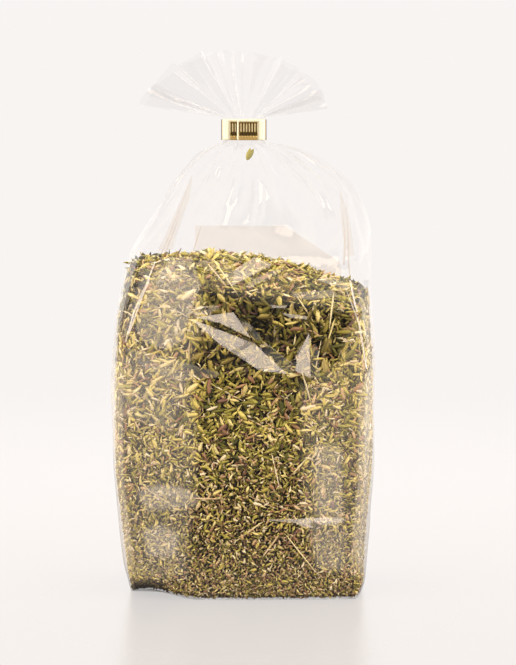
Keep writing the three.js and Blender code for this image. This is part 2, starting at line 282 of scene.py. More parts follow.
def add_leaf_map(mesh: bpy.types.Mesh, tone: np.ndarray, shade: np.ndarray) -> None:
    """Writes tones and shades to a mesh's UV map.

    Args:
        mesh: The mesh of one or more leaves.
        tone: Each vertex's tone.
        shade: Each vertex's shade.
    """
    corners = np.empty(len(mesh.loops), np.int32)
    mesh.loops.foreach_get("vertex_index", corners)
    spots = np.stack([tone, shade], -1)[corners]
    mesh.uv_layers.new(name=LEAF_MAP).data.foreach_set("uv", spots.astype(np.float32).ravel())


def thicken(sheet: bpy.types.Object, thickness: float) -> None:
    """Gives a sheet a thickness, half of it to each side.

    Args:
        sheet: The sheet's object.
        thickness: Millimetres.
    """
    wall = sheet.modifiers.new("wall", "SOLIDIFY")
    wall.thickness = thickness * MM
    wall.offset = 0.0


def nearest_on_line(points: Points, line: Points) -> tuple[np.ndarray, Points]:
    """Finds the nearest place of a line of straight stretches to each flat point.

    Args:
        points: Rows of two coordinates.
        line: The line's corners.

    Returns:
        Distances and the nearest points.
    """
    best = np.full(len(points), np.inf)
    nearest = points.copy()
    for start, end in zip(line[:-1], line[1:]):
        run = end - start
        share = np.clip((points - start) @ run / (run @ run), 0, 1)
        foot = start + share[:, None] * run
        gap = np.linalg.norm(points - foot, axis=1)
        closer = gap < best
        best = np.where(closer, gap, best)
        nearest[closer] = foot[closer]
    return best, nearest


def closed_line(corners: Points) -> Points:
    """Gives a polygon's corners with the first one again at the end."""
    return np.vstack([corners, corners[:1]])


def inside_polygon(points: Points, corners: Points) -> np.ndarray:
    """Tells which flat points lie inside a polygon, by the crossings of a ray to the right.

    Args:
        points: Rows of two coordinates.
        corners: The polygon's corners.

    Returns:
        True for each point inside.
    """
    x, y = points.T
    inside = np.zeros(len(points), bool)
    for (ax, ay), (bx, by) in zip(corners, np.roll(corners, -1, axis=0)):
        spans = (ay > y) != (by > y)
        rise = by - ay if by != ay else 1.0
        inside ^= spans & (x < ax + (y - ay) * (bx - ax) / rise)
    return inside


def distance_to_polygon(points: Points, corners: Points) -> tuple[np.ndarray, Points]:
    """Gives each flat point's distance to a polygon and the polygon's nearest point.

    Args:
        points: Rows of two coordinates.
        corners: The polygon's corners.

    Returns:
        Distances, 0 inside, and the nearest points.
    """
    away, nearest = nearest_on_line(points, closed_line(corners))
    inside = inside_polygon(points, corners)
    nearest[inside] = points[inside]
    return np.where(inside, 0, away), nearest


@dataclass(frozen=True)
class BagShape:
    """The outline of the filled bag that the film and the heap share, in millimetres.

    Each level has a height, a half width, a half depth, a shift to the right and how round its corners are.
    """

    levels: tuple[tuple[float, float, float, float, float], ...] = (
        (0.3, 46.6, 27.3, 0.4, 0.28),
        (3.0, 47.6, 28.3, 0.6, 0.26),
        (12.0, 48.8, 29.2, 0.4, 0.24),
        (28.0, 50.4, 29.2, 0.2, 0.22),
        (55.0, 52.6, 29.4, 0.0, 0.22),
        (80.0, 52.6, 29.2, 0.0, 0.22),
        (105.0, 51.4, 28.2, 0.0, 0.24),
        (120.0, 49.6, 26.8, 0.6, 0.30),
        (133.0, 47.8, 24.8, 1.8, 0.38),
        (144.0, 44.4, 21.4, 3.9, 0.50),
        (154.0, 40.0, 17.8, 6.0, 0.65),
        (162.0, 34.8, 14.6, 6.3, 0.80),
        (169.0, 27.8, 11.4, 4.8, 0.90),
        (175.0, 20.5, 8.0, 3.4, 1.00),
        (178.0, 13.0, 5.2, 1.6, 1.00),
        (179.4, 7.3, 3.1, -0.4, 1.00),
        (188.6, 7.3, 3.1, -0.4, 1.00),
    )
    side_strips: int = 12
    front_strips: int = 20
    base_flat_share: float = 0.88
    corner_rise: float = 4.0
    corner_reach: float = 0.6
    corner_height: float = 14.0
    tuck: float = 3.0
    tuck_starts: Range = (4.0, 20.0)
    tuck_ends: Range = (118.0, 140.0)
    tuck_side: Range = (0.4, 1.0)
    tuck_front: Range = (-0.6, 1.0)
    pleats: int = 16
    pleat_share: float = 0.09
    pleats_start: float = 150.0
    pleats_end: float = 180.0
    fan_half_angle: float = math.radians(82)
    fan_middle: float = 25.5
    fan_left: float = 33.0
    fan_right: float = 25.5
    fan_spread: float = 1.5
    fan_wave: float = 1.0
    heap_rim: float = 123.2
    heap_crown: float = 9.0
    heap_lean_back: float = 0.16
    heap_fall_right: float = 0.12
    heap_floor: float = 1.7

    @property
    def base_height(self) -> float:
        """Height of the lowest level."""
        return self.levels[0][0]

    @property
    def neck_height(self) -> float:
        """Height of the highest level, where the fan starts."""
        return self.levels[-1][0]

    def section(self, height: Value) -> np.ndarray:
        """Gives the bag's section on a smooth curve through the levels.

        Args:
            height: Height or heights above the table.

        Returns:
            Half width, half depth, shift and roundness, one row each.
        """
        table = np.array(self.levels)
        heights, sizes = table[:, 0], table[:, 1:]
        steps = np.diff(heights)
        rises = np.diff(sizes, axis=0) / steps[:, None]
        below, above = rises[:-1], rises[1:]
        both = below + above
        agree = below * above > 0
        inner = np.where(agree, 2 * below * above / np.where(agree, both, 1), 0)
        slopes = np.vstack([rises[:1], inner, rises[-1:]])
        height = np.atleast_1d(np.asarray(height, float))
        low = np.clip(np.searchsorted(heights, height) - 1, 0, len(steps) - 1)
        step = steps[low][:, None]
        t = np.clip((height - heights[low]) / steps[low], 0, 1)[:, None]
        from_low = (2 * t**3 - 3 * t**2 + 1) * sizes[low] + (t**3 - 2 * t**2 + t) * step * slopes[low]
        from_high = (3 * t**2 - 2 * t**3) * sizes[low + 1] + (t**3 - t**2) * step * slopes[low + 1]
        return (from_low + from_high).T

    def square(self, share: np.ndarray) -> tuple[np.ndarray, np.ndarray]:
        """Walks round a square of half side 1, from the middle of its right side round by the back.

        Args:
            share: Shares of the way round.

        Returns:
            The places' two coordinates.
        """
        half = self.side_strips / 2
        front = self.front_strips
        turns = np.cumsum([0, half, front, 2 * half, front, half])
        strip = (share % 1) * turns[-1]
        u = np.interp(strip, turns, [1, 1, -1, -1, 1, 1])
        v = np.interp(strip, turns, [0, 1, 1, -1, -1, 0])
        return u, v

    def wall(self, share: np.ndarray, height: np.ndarray, inset: Value = 0.0, scale: Value = 1.0) -> Points:
        """Gives points of the bag's wall.

        Args:
            share: Shares of the way round.
            height: Heights above the table.
            inset: How far inside the film.
            scale: Share of the way from the middle to the wall.

        Returns:
            One row for each point.
        """
        u, v = self.square(share)
        width, depth, shift, roundness = self.section(height)
        gathered = smoothstep(height, self.pleats_start, self.pleats_end) * self.pleat_share
        pleat = 1 + gathered * np.cos(TAU * self.pleats * share)
        x = (width * pleat - inset) * u * np.sqrt(1 - roundness * v * v / 2)
        y = (depth * pleat - inset) * v * np.sqrt(1 - roundness * u * u / 2)
        upright = smoothstep(height, *self.tuck_starts) * (1 - smoothstep(height, *self.tuck_ends))
        x = x - self.tuck * smoothstep(u, *self.tuck_side) * smoothstep(-v, *self.tuck_front) * upright
        from_corner = np.hypot(scale * u + 1, scale * v + 1)
        lift = self.corner_rise * (1 - smoothstep(from_corner, 0, self.corner_reach))
        lift = lift * (1 - smoothstep(height, 0, self.corner_height))
        return np.stack([shift + scale * x, scale * y, height + lift], -1)

    def wall_frame(self, share: np.ndarray, height: np.ndarray, inset: Value = 0.0) -> tuple[Points, ...]:
        """Gives points of the wall with the directions round it, up it and out of it.

        Args:
            share: Shares of the way round.
            height: Heights above the table.
            inset: How far inside the film.

        Returns:
            Points, directions round, directions up and directions out.
        """
        round_step, up_step = 1e-3, 0.2
        at = self.wall(share, height, inset)
        around = unit(self.wall(share + round_step, height) - self.wall(share - round_step, height))
        rising = self.wall(share, height + up_step) - self.wall(share, height - up_step)
        out = unit(np.cross(around, rising))
        return at, around, np.cross(out, around), out

    def fan(self, share: np.ndarray, out: np.ndarray) -> Points:
        """Gives points of the fan above the clip.

        Args:
            share: Shares of the way round the neck.
            out: Shares of the way from the neck to the rim.

        Returns:
            One row for each point.
        """
        root = self.wall(share, np.full_like(share, self.neck_height))
        _, neck_width, _, neck_shift, _ = self.levels[-1]
        sideways = np.clip((root[:, 0] - neck_shift) / (neck_width * (1 + self.pleat_share)), -1, 1)
        side = np.where(sideways < 0, self.fan_left, self.fan_right)
        reach = out * (self.fan_middle + (side - self.fan_middle) * np.abs(sideways))
        angle = sideways * self.fan_half_angle
        wave = self.fan_wave * out * np.cos(TAU * self.pleats * share)
        x = root[:, 0] + reach * np.sin(angle)
        y = root[:, 1] * (1 + self.fan_spread * out) + wave
        return np.stack([x, y, self.neck_height + reach * np.cos(angle)], -1)

    def heap_top(self, x: np.ndarray, y: np.ndarray) -> np.ndarray:
        """Gives the height of the heap's top, a low crown that leans back and falls away to the right.

        Args:
            x: Places to the right.
            y: Places to the back.

        Returns:
            One height for each place.
        """
        width, depth, _, _ = self.section(self.heap_rim)
        from_middle = np.minimum(1, np.hypot(x / width, y / depth))
        crown = self.heap_crown * (1 - from_middle**2)
        return self.heap_rim + crown + self.heap_lean_back * y - self.heap_fall_right * x


@dataclass(frozen=True)
class ClearFilm:
    """Cast polypropylene film, glossy and clear: the eye sees its glints more than the film itself."""

    facing_gloss: float = 0.05
    edge_gloss: float = 0.5
    edge_power: float = 4.0
    gloss_roughness: float = 0.07
    gloss_tint: str = "#fffaf6"
    clear_tint: str = "#ffffff"
    tan_tint: str = "#f3e7da"
    coat_tint: str = "#f2e6d8"
    coat_roughness: float = 0.8
    coat_gloss: float = 0.1
    densest: float = 0.24
    haze: float = 0.004
    crinkle_mm: float = 1.9
    crinkle_height: float = 0.4
    crinkle_detail: float = 1.5

    def material(self) -> bpy.types.Material:
        """Builds the film: clear, with a mirror gloss that grows at the edges and a whitish coat of dusting
        and painted glare.

        Returns:
            The finished material.
        """
        material, tree = new_material("clear polypropylene film")
        stain, dust, haze, crinkle = [
            add_node(tree, "ShaderNodeAttribute", {"attribute_name": name}).outputs["Fac"]
            for name in ("stain", "dust", "haze", "crinkle")
        ]
        turned = add_node(tree, "ShaderNodeLayerWeight", inputs={"Blend": 0.5}).outputs["Facing"]
        edge = add_node(tree, "ShaderNodeMath", {"operation": "POWER"}, {0: turned, 1: self.edge_power})
        growth = {"Value": edge, "To Min": self.facing_gloss, "To Max": self.edge_gloss}
        gloss_share = add_node(tree, "ShaderNodeMapRange", inputs=growth)
        # Tinted patches tan the light that passes through the film.
        tints = {0: stain, 6: linear(self.clear_tint), 7: linear(self.tan_tint)}
        passed = add_node(tree, "ShaderNodeMix", {"data_type": "RGBA"}, tints).outputs[2]
        clear = add_node(tree, "ShaderNodeBsdfTransparent", inputs={"Color": passed})
        # Dusting and painted glare turn the film to a whitish matte coat.
        whitened = add_node(tree, "ShaderNodeMath", {"operation": "ADD"}, {0: dust, 1: haze})
        matte_inputs = {
            "Base Color": linear(self.coat_tint),
            "Roughness": self.coat_roughness,
            "Specular IOR Level": self.coat_gloss,
        }
        coat = add_node(tree, "ShaderNodeBsdfPrincipled", inputs=matte_inputs)
        body = add_node(tree, "ShaderNodeMixShader", inputs={0: whitened, 1: clear, 2: coat})
        place = add_node(tree, "ShaderNodeTexCoord").outputs["Object"]
        fine = {"Vector": place, "Scale": 1 / (self.crinkle_mm * MM), "Detail": self.crinkle_detail}
        crinkles = add_node(tree, "ShaderNodeTexNoise", inputs=fine).outputs["Fac"]
        relief = {"Strength": crinkle, "Distance": self.crinkle_height * MM, "Height": crinkles}
        mirror = {
            "Base Color": linear(self.gloss_tint),
            "Metallic": 1.0,
            "Roughness": self.gloss_roughness,
            "Normal": add_node(tree, "ShaderNodeBump", inputs=relief),
        }
        gloss = add_node(tree, "ShaderNodeBsdfPrincipled", inputs=mirror)
        film = add_node(tree, "ShaderNodeMixShader", inputs={0: gloss_share, 1: body, 2: gloss})
        add_node(tree, "ShaderNodeOutputMaterial", inputs={"Surface": film})
        return material


@dataclass(frozen=True)
class DriedLeaf:
    """Dried thyme leaf: matte, rolled in drying, from dark green by olive and straw to brown."""

    tones: tuple[tuple[float, str], ...] = (
        (0.00, "#303614"),
        (0.10, "#54541d"),
        (0.22, "#82782b"),
        (0.34, "#b0a247"),
        (0.46, "#d6c064"),
        (0.58, "#e8d38e"),
        (0.68, "#f0dfba"),
        (0.76, "#d4b080"),
        (0.84, "#aa7e54"),
        (0.92, "#805c50"),
        (1.00, "#523c30"),
    )
    shades: tuple[tuple[float, str], ...] = (
        (0.00, "#080705"),
        (0.25, "#383229"),
        (0.50, "#b3aa9a"),
        (0.70, "#f2ede2"),
        (0.90, "#ffffff"),
    )
    roughness: float = 0.55
    gloss: float = 0.35

    def material(self) -> bpy.types.Material:
        """Builds the leaf's finish from its tone and its painted shade and light, such as the shade from its
        neighbours.

        Returns:
            The finished material.
        """
        material, tree = new_material("dried thyme leaf")
        place = add_node(tree, "ShaderNodeUVMap", {"uv_map": LEAF_MAP})
        across, upwards, _ = add_node(tree, "ShaderNodeSeparateXYZ", inputs={0: place}).outputs
        tone = add_node(tree, "ShaderNodeValToRGB", {"stops": self.tones}, {0: across})
        shade = add_node(tree, "ShaderNodeValToRGB", {"stops": self.shades}, {0: upwards})
        both = {0: 1.0, 6: tone, 7: shade}
        shaded = add_node(tree, "ShaderNodeMix", {"data_type": "RGBA", "blend_type": "MULTIPLY"}, both)
        blade = {
            "Base Color": shaded.outputs[2],
            "Roughness": self.roughness,
            "Specular IOR Level": self.gloss,
        }
        leaf = add_node(tree, "ShaderNodeBsdfPrincipled", inputs=blade)
        add_node(tree, "ShaderNodeOutputMaterial", inputs={"Surface": leaf})
        return material


@dataclass(frozen=True)
class LeafFines:
    """Packed fines between the leaves: powdered leaf and crumbs, painted dark as the shade deep between the
    leaves.
    """

    tones: tuple[tuple[float, str], ...] = ((0.35, "#0f0c07"), (0.7, "#2e2613"))
    grit_mm: float = 1.6
    grit_detail: float = 3.0
    roughness: float = 0.9
    gloss: float = 0.1

    def material(self) -> bpy.types.Material:
        """Builds the fines as a dark grit, which is painted shade.

        Returns:
            The finished material.
        """
        material, tree = new_material("packed thyme fines")
        place = add_node(tree, "ShaderNodeTexCoord").outputs["Object"]
        coarse = {"Vector": place, "Scale": 1 / (self.grit_mm * MM), "Detail": self.grit_detail}
        grit = add_node(tree, "ShaderNodeTexNoise", inputs=coarse).outputs["Fac"]
        matte_inputs = {
            "Base Color": add_node(tree, "ShaderNodeValToRGB", {"stops": self.tones}, {0: grit}),
            "Roughness": self.roughness,
            "Specular IOR Level": self.gloss,
        }
        fines = add_node(tree, "ShaderNodeBsdfPrincipled", inputs=matte_inputs)
        add_node(tree, "ShaderNodeOutputMaterial", inputs={"Surface": fines})
        return material


@dataclass(frozen=True)
class GoldStrip:
    """Gold lacquered steel strip, rolled and stamped: a bright mirror with faint drawing lines along it."""

    # Gold at 0, turning to painted shade towards 1.
    gold_and_shade: tuple[tuple[float, str], ...] = (
        (0.0, "#f0e6c4"),
        (0.3, "#ccaa68"),
        (0.6, "#544010"),
        (1.0, "#0f0b02"),
    )
    metal_share: float = 0.5
    roughness: Range = (0.28, 0.14)
    line_mm: float = 0.35  # real drawing lines are finer, and these are as coarse as they need to show
    line_detail: float = 2.0
    line_stretch: tuple[float, float, float] = (0.08, 0.08, 1.0)

    def material(self) -> bpy.types.Material:
        """Builds the strip's finish from its gold and a painted shade: dark in the rib valleys, at both ends
        of the ribs and at the strip's two ends, and a deeper gold on the lower border.

        Returns:
            The finished material.
        """
        material, tree = new_material("gold lacquered steel strip")
        place = add_node(tree, "ShaderNodeTexCoord").outputs["Object"]
        drawn = add_node(tree, "ShaderNodeMapping", inputs={"Vector": place, "Scale": self.line_stretch})
        fine = {"Vector": drawn, "Scale": 1 / (self.line_mm * MM), "Detail": self.line_detail}
        lines = add_node(tree, "ShaderNodeTexNoise", inputs=fine).outputs["Fac"]
        groove = add_node(tree, "ShaderNodeAttribute", {"attribute_name": "groove"}).outputs["Fac"]
        rough, smooth = self.roughness
        sheen = {"Value": lines, "To Min": rough, "To Max": smooth}
        lacquer = {
            "Base Color": add_node(tree, "ShaderNodeValToRGB", {"stops": self.gold_and_shade}, {0: groove}),
            "Metallic": self.metal_share,
            "Roughness": add_node(tree, "ShaderNodeMapRange", inputs=sheen),
        }
        strip = add_node(tree, "ShaderNodeBsdfPrincipled", inputs=lacquer)
        add_node(tree, "ShaderNodeOutputMaterial", inputs={"Surface": strip})
        return material


@dataclass(frozen=True)
class PressedZones:
    """Where the film presses on the leaves: they look paler there, as painted light, and the film is whitish
    there with their dusting and with painted glare.

    Each zone has a strength and corners as (x, height) on the front. The back has them mirrored.
    """

    zones: tuple[tuple[float, Corners], ...] = (
        (
            1.0,
            ((-39, 124), (-36, 134), (-20, 134), (-19, 112), (-24, 95))
            + ((-22, 60), (-26, 12), (-50, 10), (-51, 80), (-46, 100)),
        ),
        (0.8, ((25, 84), (40, 92), (46, 112), (52, 118), (52, 12), (30, 16), (26, 40))),
        (0.7, ((-20, 136), (40, 128), (42, 118), (10, 122), (-18, 126))),
    )
    soft: float = 6.0
    side_blend: float = 16.0
    # Patches where painted glare whitens the film.
    glare_veils: tuple[tuple[float, Corners], ...] = (
        (0.13, ((-40, 43), (-34, 45), (-26, 43.5), (-20, 40), (-27, 39), (-37, 38))),
        (0.18, ((-38, 27), (-33, 28.5), (-28, 26), (-29, 20), (-36, 20))),
        (0.12, ((29, 61), (36, 60), (36.5, 36), (29.5, 36))),
        (0.08, ((28, 29.6), (38, 28.6), (37, 14), (30, 15))),
        (0.07, ((-47, 95), (-34, 93), (-24, 88), (-30, 70), (-48, 76))),
    )
    veil_soft: float = 3.5

    def spread(self, places: Points, zones: tuple[tuple[float, Corners], ...], soft: float) -> np.ndarray:
        """Gives the strongest of some zones at each point.

        Args:
            places: Points of the wall.
            zones: Strengths and corners.
            soft: How far each zone fades out beyond its corners.

        Returns:
            Strengths.
        """
        x, y, height = places.T
        front, back = np.zeros(len(places)), np.zeros(len(places))
        for strength, corners in zones:
            for side, amount in ((x, front), (-x, back)):
                away, _ = distance_to_polygon(np.stack([side, height], -1), np.array(corners, float))
                np.maximum(amount, strength * (1 - smoothstep(away, 0, soft)), out=amount)
        return front + (back - front) * smoothstep(y, -self.side_blend, self.side_blend)

    def amount(self, places: Points) -> np.ndarray:
        """Gives how hard the film presses at each point, from 0 to 1."""
        return self.spread(places, self.zones, self.soft)

    def glare_veil(self, places: Points) -> np.ndarray:
        """Gives how much painted glare whitens the film in patches at each point, from 0 to 1."""
        return self.spread(places, self.glare_veils, self.veil_soft)


@dataclass(frozen=True)
class Facet:
    """A patch of the film between creases, whitened with painted glare.

    The corners are (x, height) in millimetres, on the front film or the back one. A patch with a tip lies
    flat and looks up by that many degrees, and turn is how far it looks to the left. A tinted patch tans the
    film by the same share in place of the painted glare.
    """

    corners: Corners
    haze: float
    tip: float | None = None
    turn: float = 0.0
    stain: bool = False
    back: bool = False


@dataclass
class FilmBag:
    """The bag itself: one sheet of film, folded flat at the base, creased, gathered and fanned out.

    A crumple has a height, what the empty head adds to it, cells round the bag, a cell's height and its
    lean. A range is where something fades in or out, as heights or as shares of the way to a side.
    """

    shape: BagShape
    pressed: PressedZones
    finish: ClearFilm
    around: int = 384
    base_rows: int = 9
    side_rows: int = 198
    fan_rows: int = 30
    slack: float = 0.5
    sink: float = 0.2
    skirt: float = 3.5
    seed: int = 5
    # The white patches here are painted glare, and the last three tint the film tan.
    facets: tuple[Facet, ...] = (
        Facet(((-21, 111.8), (-9.5, 101.9), (-4.5, 98.8), (3.8, 102.4)), 0.2, 15, -1),
        Facet(((-4.5, 98.8), (5.6, 92.2), (16.7, 90.7), (10.6, 96.1), (3.8, 102.4)), 0.2, 15, -1),
        Facet(((-19, 112.4), (-9.5, 110.2), (2.3, 104.6), (-4.4, 114.4)), 0.2, 15),
        Facet(((25, 106.2), (21, 98.3), (19.6, 91.8), (25.7, 88.9)), 0.2, 15),
        Facet(((4.1, 135.9), (-3.7, 131), (-5.2, 124.3), (11, 132.8)), 0.14, 13.5),
        Facet(((9.2, 32.7), (19.7, 33.1), (20.1, 31.5), (9.2, 32.3)), 0.24),
        Facet(((19.7, 33.1), (26, 33.5), (26.3, 29.7), (24.3, 29.5), (20.4, 31.1)), 0.18, 18),
        Facet(((26.6, 33.5), (37.3, 33.7), (39.9, 32.7), (36.5, 31.1), (31.4, 30.7), (27.5, 31.5)), 0.18, 18),
        Facet(
            ((-33, 135.5), (-20.6, 135.6), (-17, 124.8), (-21.2, 114), (-24.4, 103))
            + ((-30.9, 99.8), (-39.4, 103), (-42.6, 108.1), (-36.8, 126.6)),
            0.12,
        ),
        Facet(((-47.3, 100.4), (-34, 97.8), (-9.6, 90.9), (-10.7, 88.9), (-27.8, 88.1), (-39.5, 92.7)), 0.07),
        Facet(((30.5, 127.5), (34.4, 127.6), (39.7, 125.5), (39.7, 122.8), (29.3, 126.1)), 0.16),
        Facet(((18.3, 121.8), (34.3, 122.9), (36.3, 120.3), (25.4, 119.1), (19.6, 119.9)), 0.12),
        Facet(((9.9, 117.2), (16.8, 116.8), (14.9, 115.9), (10.5, 115.9)), 0.24),
        Facet(((14.4, 114.1), (24.1, 112.7), (24.6, 111.4), (17.6, 112.2)), 0.22),
        Facet(((-38.2, 45), (-30, 46.6), (-22.9, 45.1), (-15.1, 40.7), (-23.7, 41.9), (-35.5, 42)), 0.06),
        Facet(
            ((-20.4, 144.1), (16.2, 144), (38.7, 129), (40.8, 112), (-20.6, 112)),
            0.5,
            stain=True,
            back=True,
        ),
        Facet(
            ((-20.5, 167), (-24.5, 158), (-29.3, 148), (-33.5, 138), (-28.5, 138), (-21.6, 158)),
            0.45,
            stain=True,
        ),
        Facet(((37.5, 161), (40.2, 152), (42, 143), (42.8, 136), (39, 136), (37.4, 152)), 0.4, stain=True),
    )
    facet_crinkle: float = 0.06
    plain_crinkle: float = 0.05
    pressed_crinkle: float = 0.25
    fan_crinkle: float = 0.2
    crumples: tuple[tuple[float, float, int, float, int], ...] = (
        (0.6, 0.0, 13, 26.0, 2),
        (0.25, 0.15, 31, 11.0, -3),
        (0.3, 0.0, 37, 64.0, 1),
    )
    lattice_rows: int = 64
    head: Range = (134.0, 148.0)
    head_slack: float = 1.4
    wall_starts: Range = (3.0, 14.0)
    wall_ends: Range = (165.0, 179.0)
    gathers: tuple[int, int] = (23, 53)
    gather_heights: tuple[float, float] = (0.6, 0.3)
    gather_wander: Waves = ((0.35, 3, 0.0), (0.2, 7, 1.0))
    gather_start: float = 143.0
    gather_edge: Waves = ((6.0, 5, 1.0), (4.0, 13, 0.0))
    gather_reach: float = 34.0
    gather_ends: Range = (172.0, 180.0)
    fan_wander: Waves = ((0.3, 5, 2.0),)
    fan_rim: Waves = ((0.03, 9, 0.0),)
    fan_notches: int = 23
    fan_notch: float = 0.025
    fan_ruffle: float = 0.8
    fan_ruffles: Waves = ((1.0, 11, 1.0),)
    twisted_ruffle: tuple[float, int, float] = (0.7, 19, 4.0)
    fan_pleats: int = 47
    fan_pleat: float = 0.35
    fan_dips: Waves = ((0.8, 7, 0.0),)
    rest_height: float = 0.05
    rest_range: Range = (0.3, 3.0)
    low_dust: float = 0.02
    low_range: Range = (4.0, 30.0)
    pressed_dust_and_glare: float = 0.08
    pressing_ends: Range = (126.0, 134.0)
    edge_dust: float = 0.16
    edge_side: Range = (0.94, 0.97)
    edge_front: Range = (-0.85, -0.2)
    edge_starts: Range = (8.0, 26.0)
    edge_ends: Range = (70.0, 104.0)
    crease_height: float = 1.5
    crease_reach: float = 2.0
    crease_width: float = 0.6
    crease_glint: float = 0.5
    crease_tan: float = 0.9
    tan_start: float = 130.0
    creases: tuple[Corners, ...] = (
        ((-20.7, 165.5), (-29.8, 142.5), (-33, 135.5), (-36.8, 127.3), (-40, 119.7), (-45.2, 105.5)),
        ((-31.9, 142.5), (-34.9, 133.5), (-38.4, 124.7), (-43, 114.4), (-46.2, 103.0)),
        ((39.7, 158.5), (40.3, 141.8), (40.4, 133.5), (41, 126.6), (42.5, 119), (43.7, 114.4)),
        ((37.5, 128.0), (44.5, 110.0), (47.5, 92.0)),
        ((-24.2, 155.0), (-28.0, 144.5), (-32.0, 134.5)),
        ((-16.4, 149.0), (-19.6, 139.0), (-20.4, 131.5)),
        ((38.3, 153.0), (39.0, 143.0), (38.6, 133.0)),
    )

    def lattice(
        self, share: np.ndarray, height: np.ndarray, cells: int, tall: float, lean: int
    ) -> np.ndarray:
        """Gives flat facets between creases: random heights on a lattice, joined by flat triangles.

        Args:
            share: Shares of the way round.
            height: Heights above the table.
            cells: Cells round the bag.
            tall: Height of a cell.
            lean: Cells that a row climbs on its way round.

        Returns:
            Heights from -1 to 1.
        """
        knots = np.random.default_rng(self.seed + cells).uniform(-1, 1, (cells, self.lattice_rows))
        a = share * cells
        b = height / tall + share * lean
        i, j = np.floor(a).astype(int), np.floor(b).astype(int)
        p, q = a - i, b - j

        def knot(di: int, dj: int) -> np.ndarray:
            """Reads the height at a corner of each point's cell."""
            turns = (i + di) // cells
            return knots[(i + di) % cells, (j + dj - turns * lean) % self.lattice_rows]

        low = knot(0, 0) + p * (knot(1, 0) - knot(0, 0)) + q * (knot(0, 1) - knot(0, 0))
        high = knot(1, 1) + (1 - p) * (knot(0, 1) - knot(1, 1)) + (1 - q) * (knot(1, 0) - knot(1, 1))
        return np.where(p + q < 1, low, high)

    def relief(self, share: np.ndarray, places: Points) -> np.ndarray:
        """Gives how far the film stands out from its plain outline.

        Args:
            share: Shares of the way round.
            places: Points of the plain outline.

        Returns:
            Distances outwards.
        """
        x, y, height = places.T
        in_head = smoothstep(height, *self.head)
        crumple = sum(
            (low + more * in_head) * self.lattice(share, height, cells, tall, lean)
            for low, more, cells, tall, lean in self.crumples
        )
        standing = smoothstep(height, *self.wall_starts) * (1 - smoothstep(height, *self.wall_ends))
        relief = standing * (self.slack + crumple * (1 + self.head_slack * in_head))
        wander = waves(share, self.gather_wander)
        onset = self.gather_start + waves(share, self.gather_edge)
        drawn = smoothstep(height - onset, 0, self.gather_reach) * (1 - smoothstep(height, *self.gather_ends))
        for count, tall, shift in zip(self.gathers, self.gather_heights, (wander, -wander)):
            relief += tall * triangle_wave(count * share + shift) * drawn
        for line in self.creases:
            away, _ = nearest_on_line(np.stack([x, height], -1), np.array(line))
            ridge = np.maximum(0, 1 - away / self.crease_reach)
            relief += self.crease_height * ridge * (y < 0)
        return relief

    def plain_rows(self) -> tuple[np.ndarray, np.ndarray, np.ndarray]:
        """Lists the sheet's rows from the middle of the base to the rim of the fan.

        Returns:
            Each row's scale, height and share of the way out along the fan.
        """
        shape = self.shape
        base = np.linspace(0, shape.base_flat_share, self.base_rows)
        heights = np.linspace(shape.base_height, shape.neck_height, self.side_rows)
        fan = np.linspace(0, 1, self.fan_rows + 1)[1:]
        scale = np.concatenate([base, np.ones(self.side_rows + self.fan_rows)])
        height = np.concatenate(
            [np.full(self.base_rows, shape.base_height), heights, np.full(self.fan_rows, shape.neck_height)]
        )
        out = np.concatenate([np.zeros(self.base_rows + self.side_rows), fan])
        return scale, height, out

    def sheet(self) -> bpy.types.Mesh:
        """Shapes one grid to the whole sheet, with its gathers, folds, dusting and painted glare.

        Returns:
            The sheet, still open along the seam where the grid's two edges meet.
        """
        shape = self.shape
        scales, heights, outs = self.plain_rows()
        last = len(scales) - 1
        mesh, share, up = grid_mesh("bag_film", self.around, last)
        row = np.rint(up * last).astype(int)
        plain = shape.wall(share, heights[row], scale=scales[row])
        in_fan = outs[row] > 0
        plain[in_fan] = self.ruffled_fan(share[in_fan], outs[row][in_fan])
        order = np.lexsort((share, row)).reshape(last + 1, self.around + 1)
        out = self.outward(plain[order])
        away = np.empty_like(plain)
        away[order.ravel()] = out.reshape(-1, 3)
        on_wall = (scales[row] == 1) & ~in_fan
        relief = np.where(on_wall, self.relief(share, plain), 0)
        places = plain + away * relief[:, None]
        sunk = 1 - smoothstep(plain[:, 2], *self.rest_range)
        places[:, 2] -= (shape.base_height - self.rest_height) * sunk
        set_vertices(mesh, places)
        add_attribute(mesh, "dust", self.dust(share, plain, on_wall))
        crinkle = self.plain_crinkle + self.pressed_crinkle * self.pressed.amount(plain)
        add_attribute(mesh, "crinkle", np.where(on_wall, crinkle, self.fan_crinkle))
        return mesh

    def ruffled_fan(self, share: np.ndarray, out: np.ndarray) -> Points:
        """Gives the fan's points with fine pleats and an uneven rim.

        Args:
            share: Shares of the way round.
            out: Shares of the way out.

        Returns:
            One row for each point.
        """
        wander = waves(share, self.fan_wander)
        notches = self.fan_notch * triangle_wave(self.fan_notches * share + wander)
        points = self.shape.fan(share, out * (1 + waves(share, self.fan_rim) + notches))
        height, turns, twist = self.twisted_ruffle
        ruffle = waves(share, (*self.fan_ruffles, (height, turns, twist * out)))
        pleats = self.fan_pleat * triangle_wave(self.fan_pleats * share + wander)
        points[:, 1] += out * (self.fan_ruffle * ruffle + pleats)
        points[:, 2] += out * waves(share, self.fan_dips)
        return points

    def outward(self, grid: Points) -> Points:
        """Gives the directions out of the film.

        Args:
            grid: Points in rows from the base up and columns round.

        Returns:
            One direction for each point.
        """
        closed = np.concatenate([grid[:, -2:-1], grid, grid[:, 1:2]], axis=1)
        around = closed[:, 2:] - closed[:, :-2]
        rising = np.gradient(grid, axis=0)
        return unit(np.cross(around, rising))

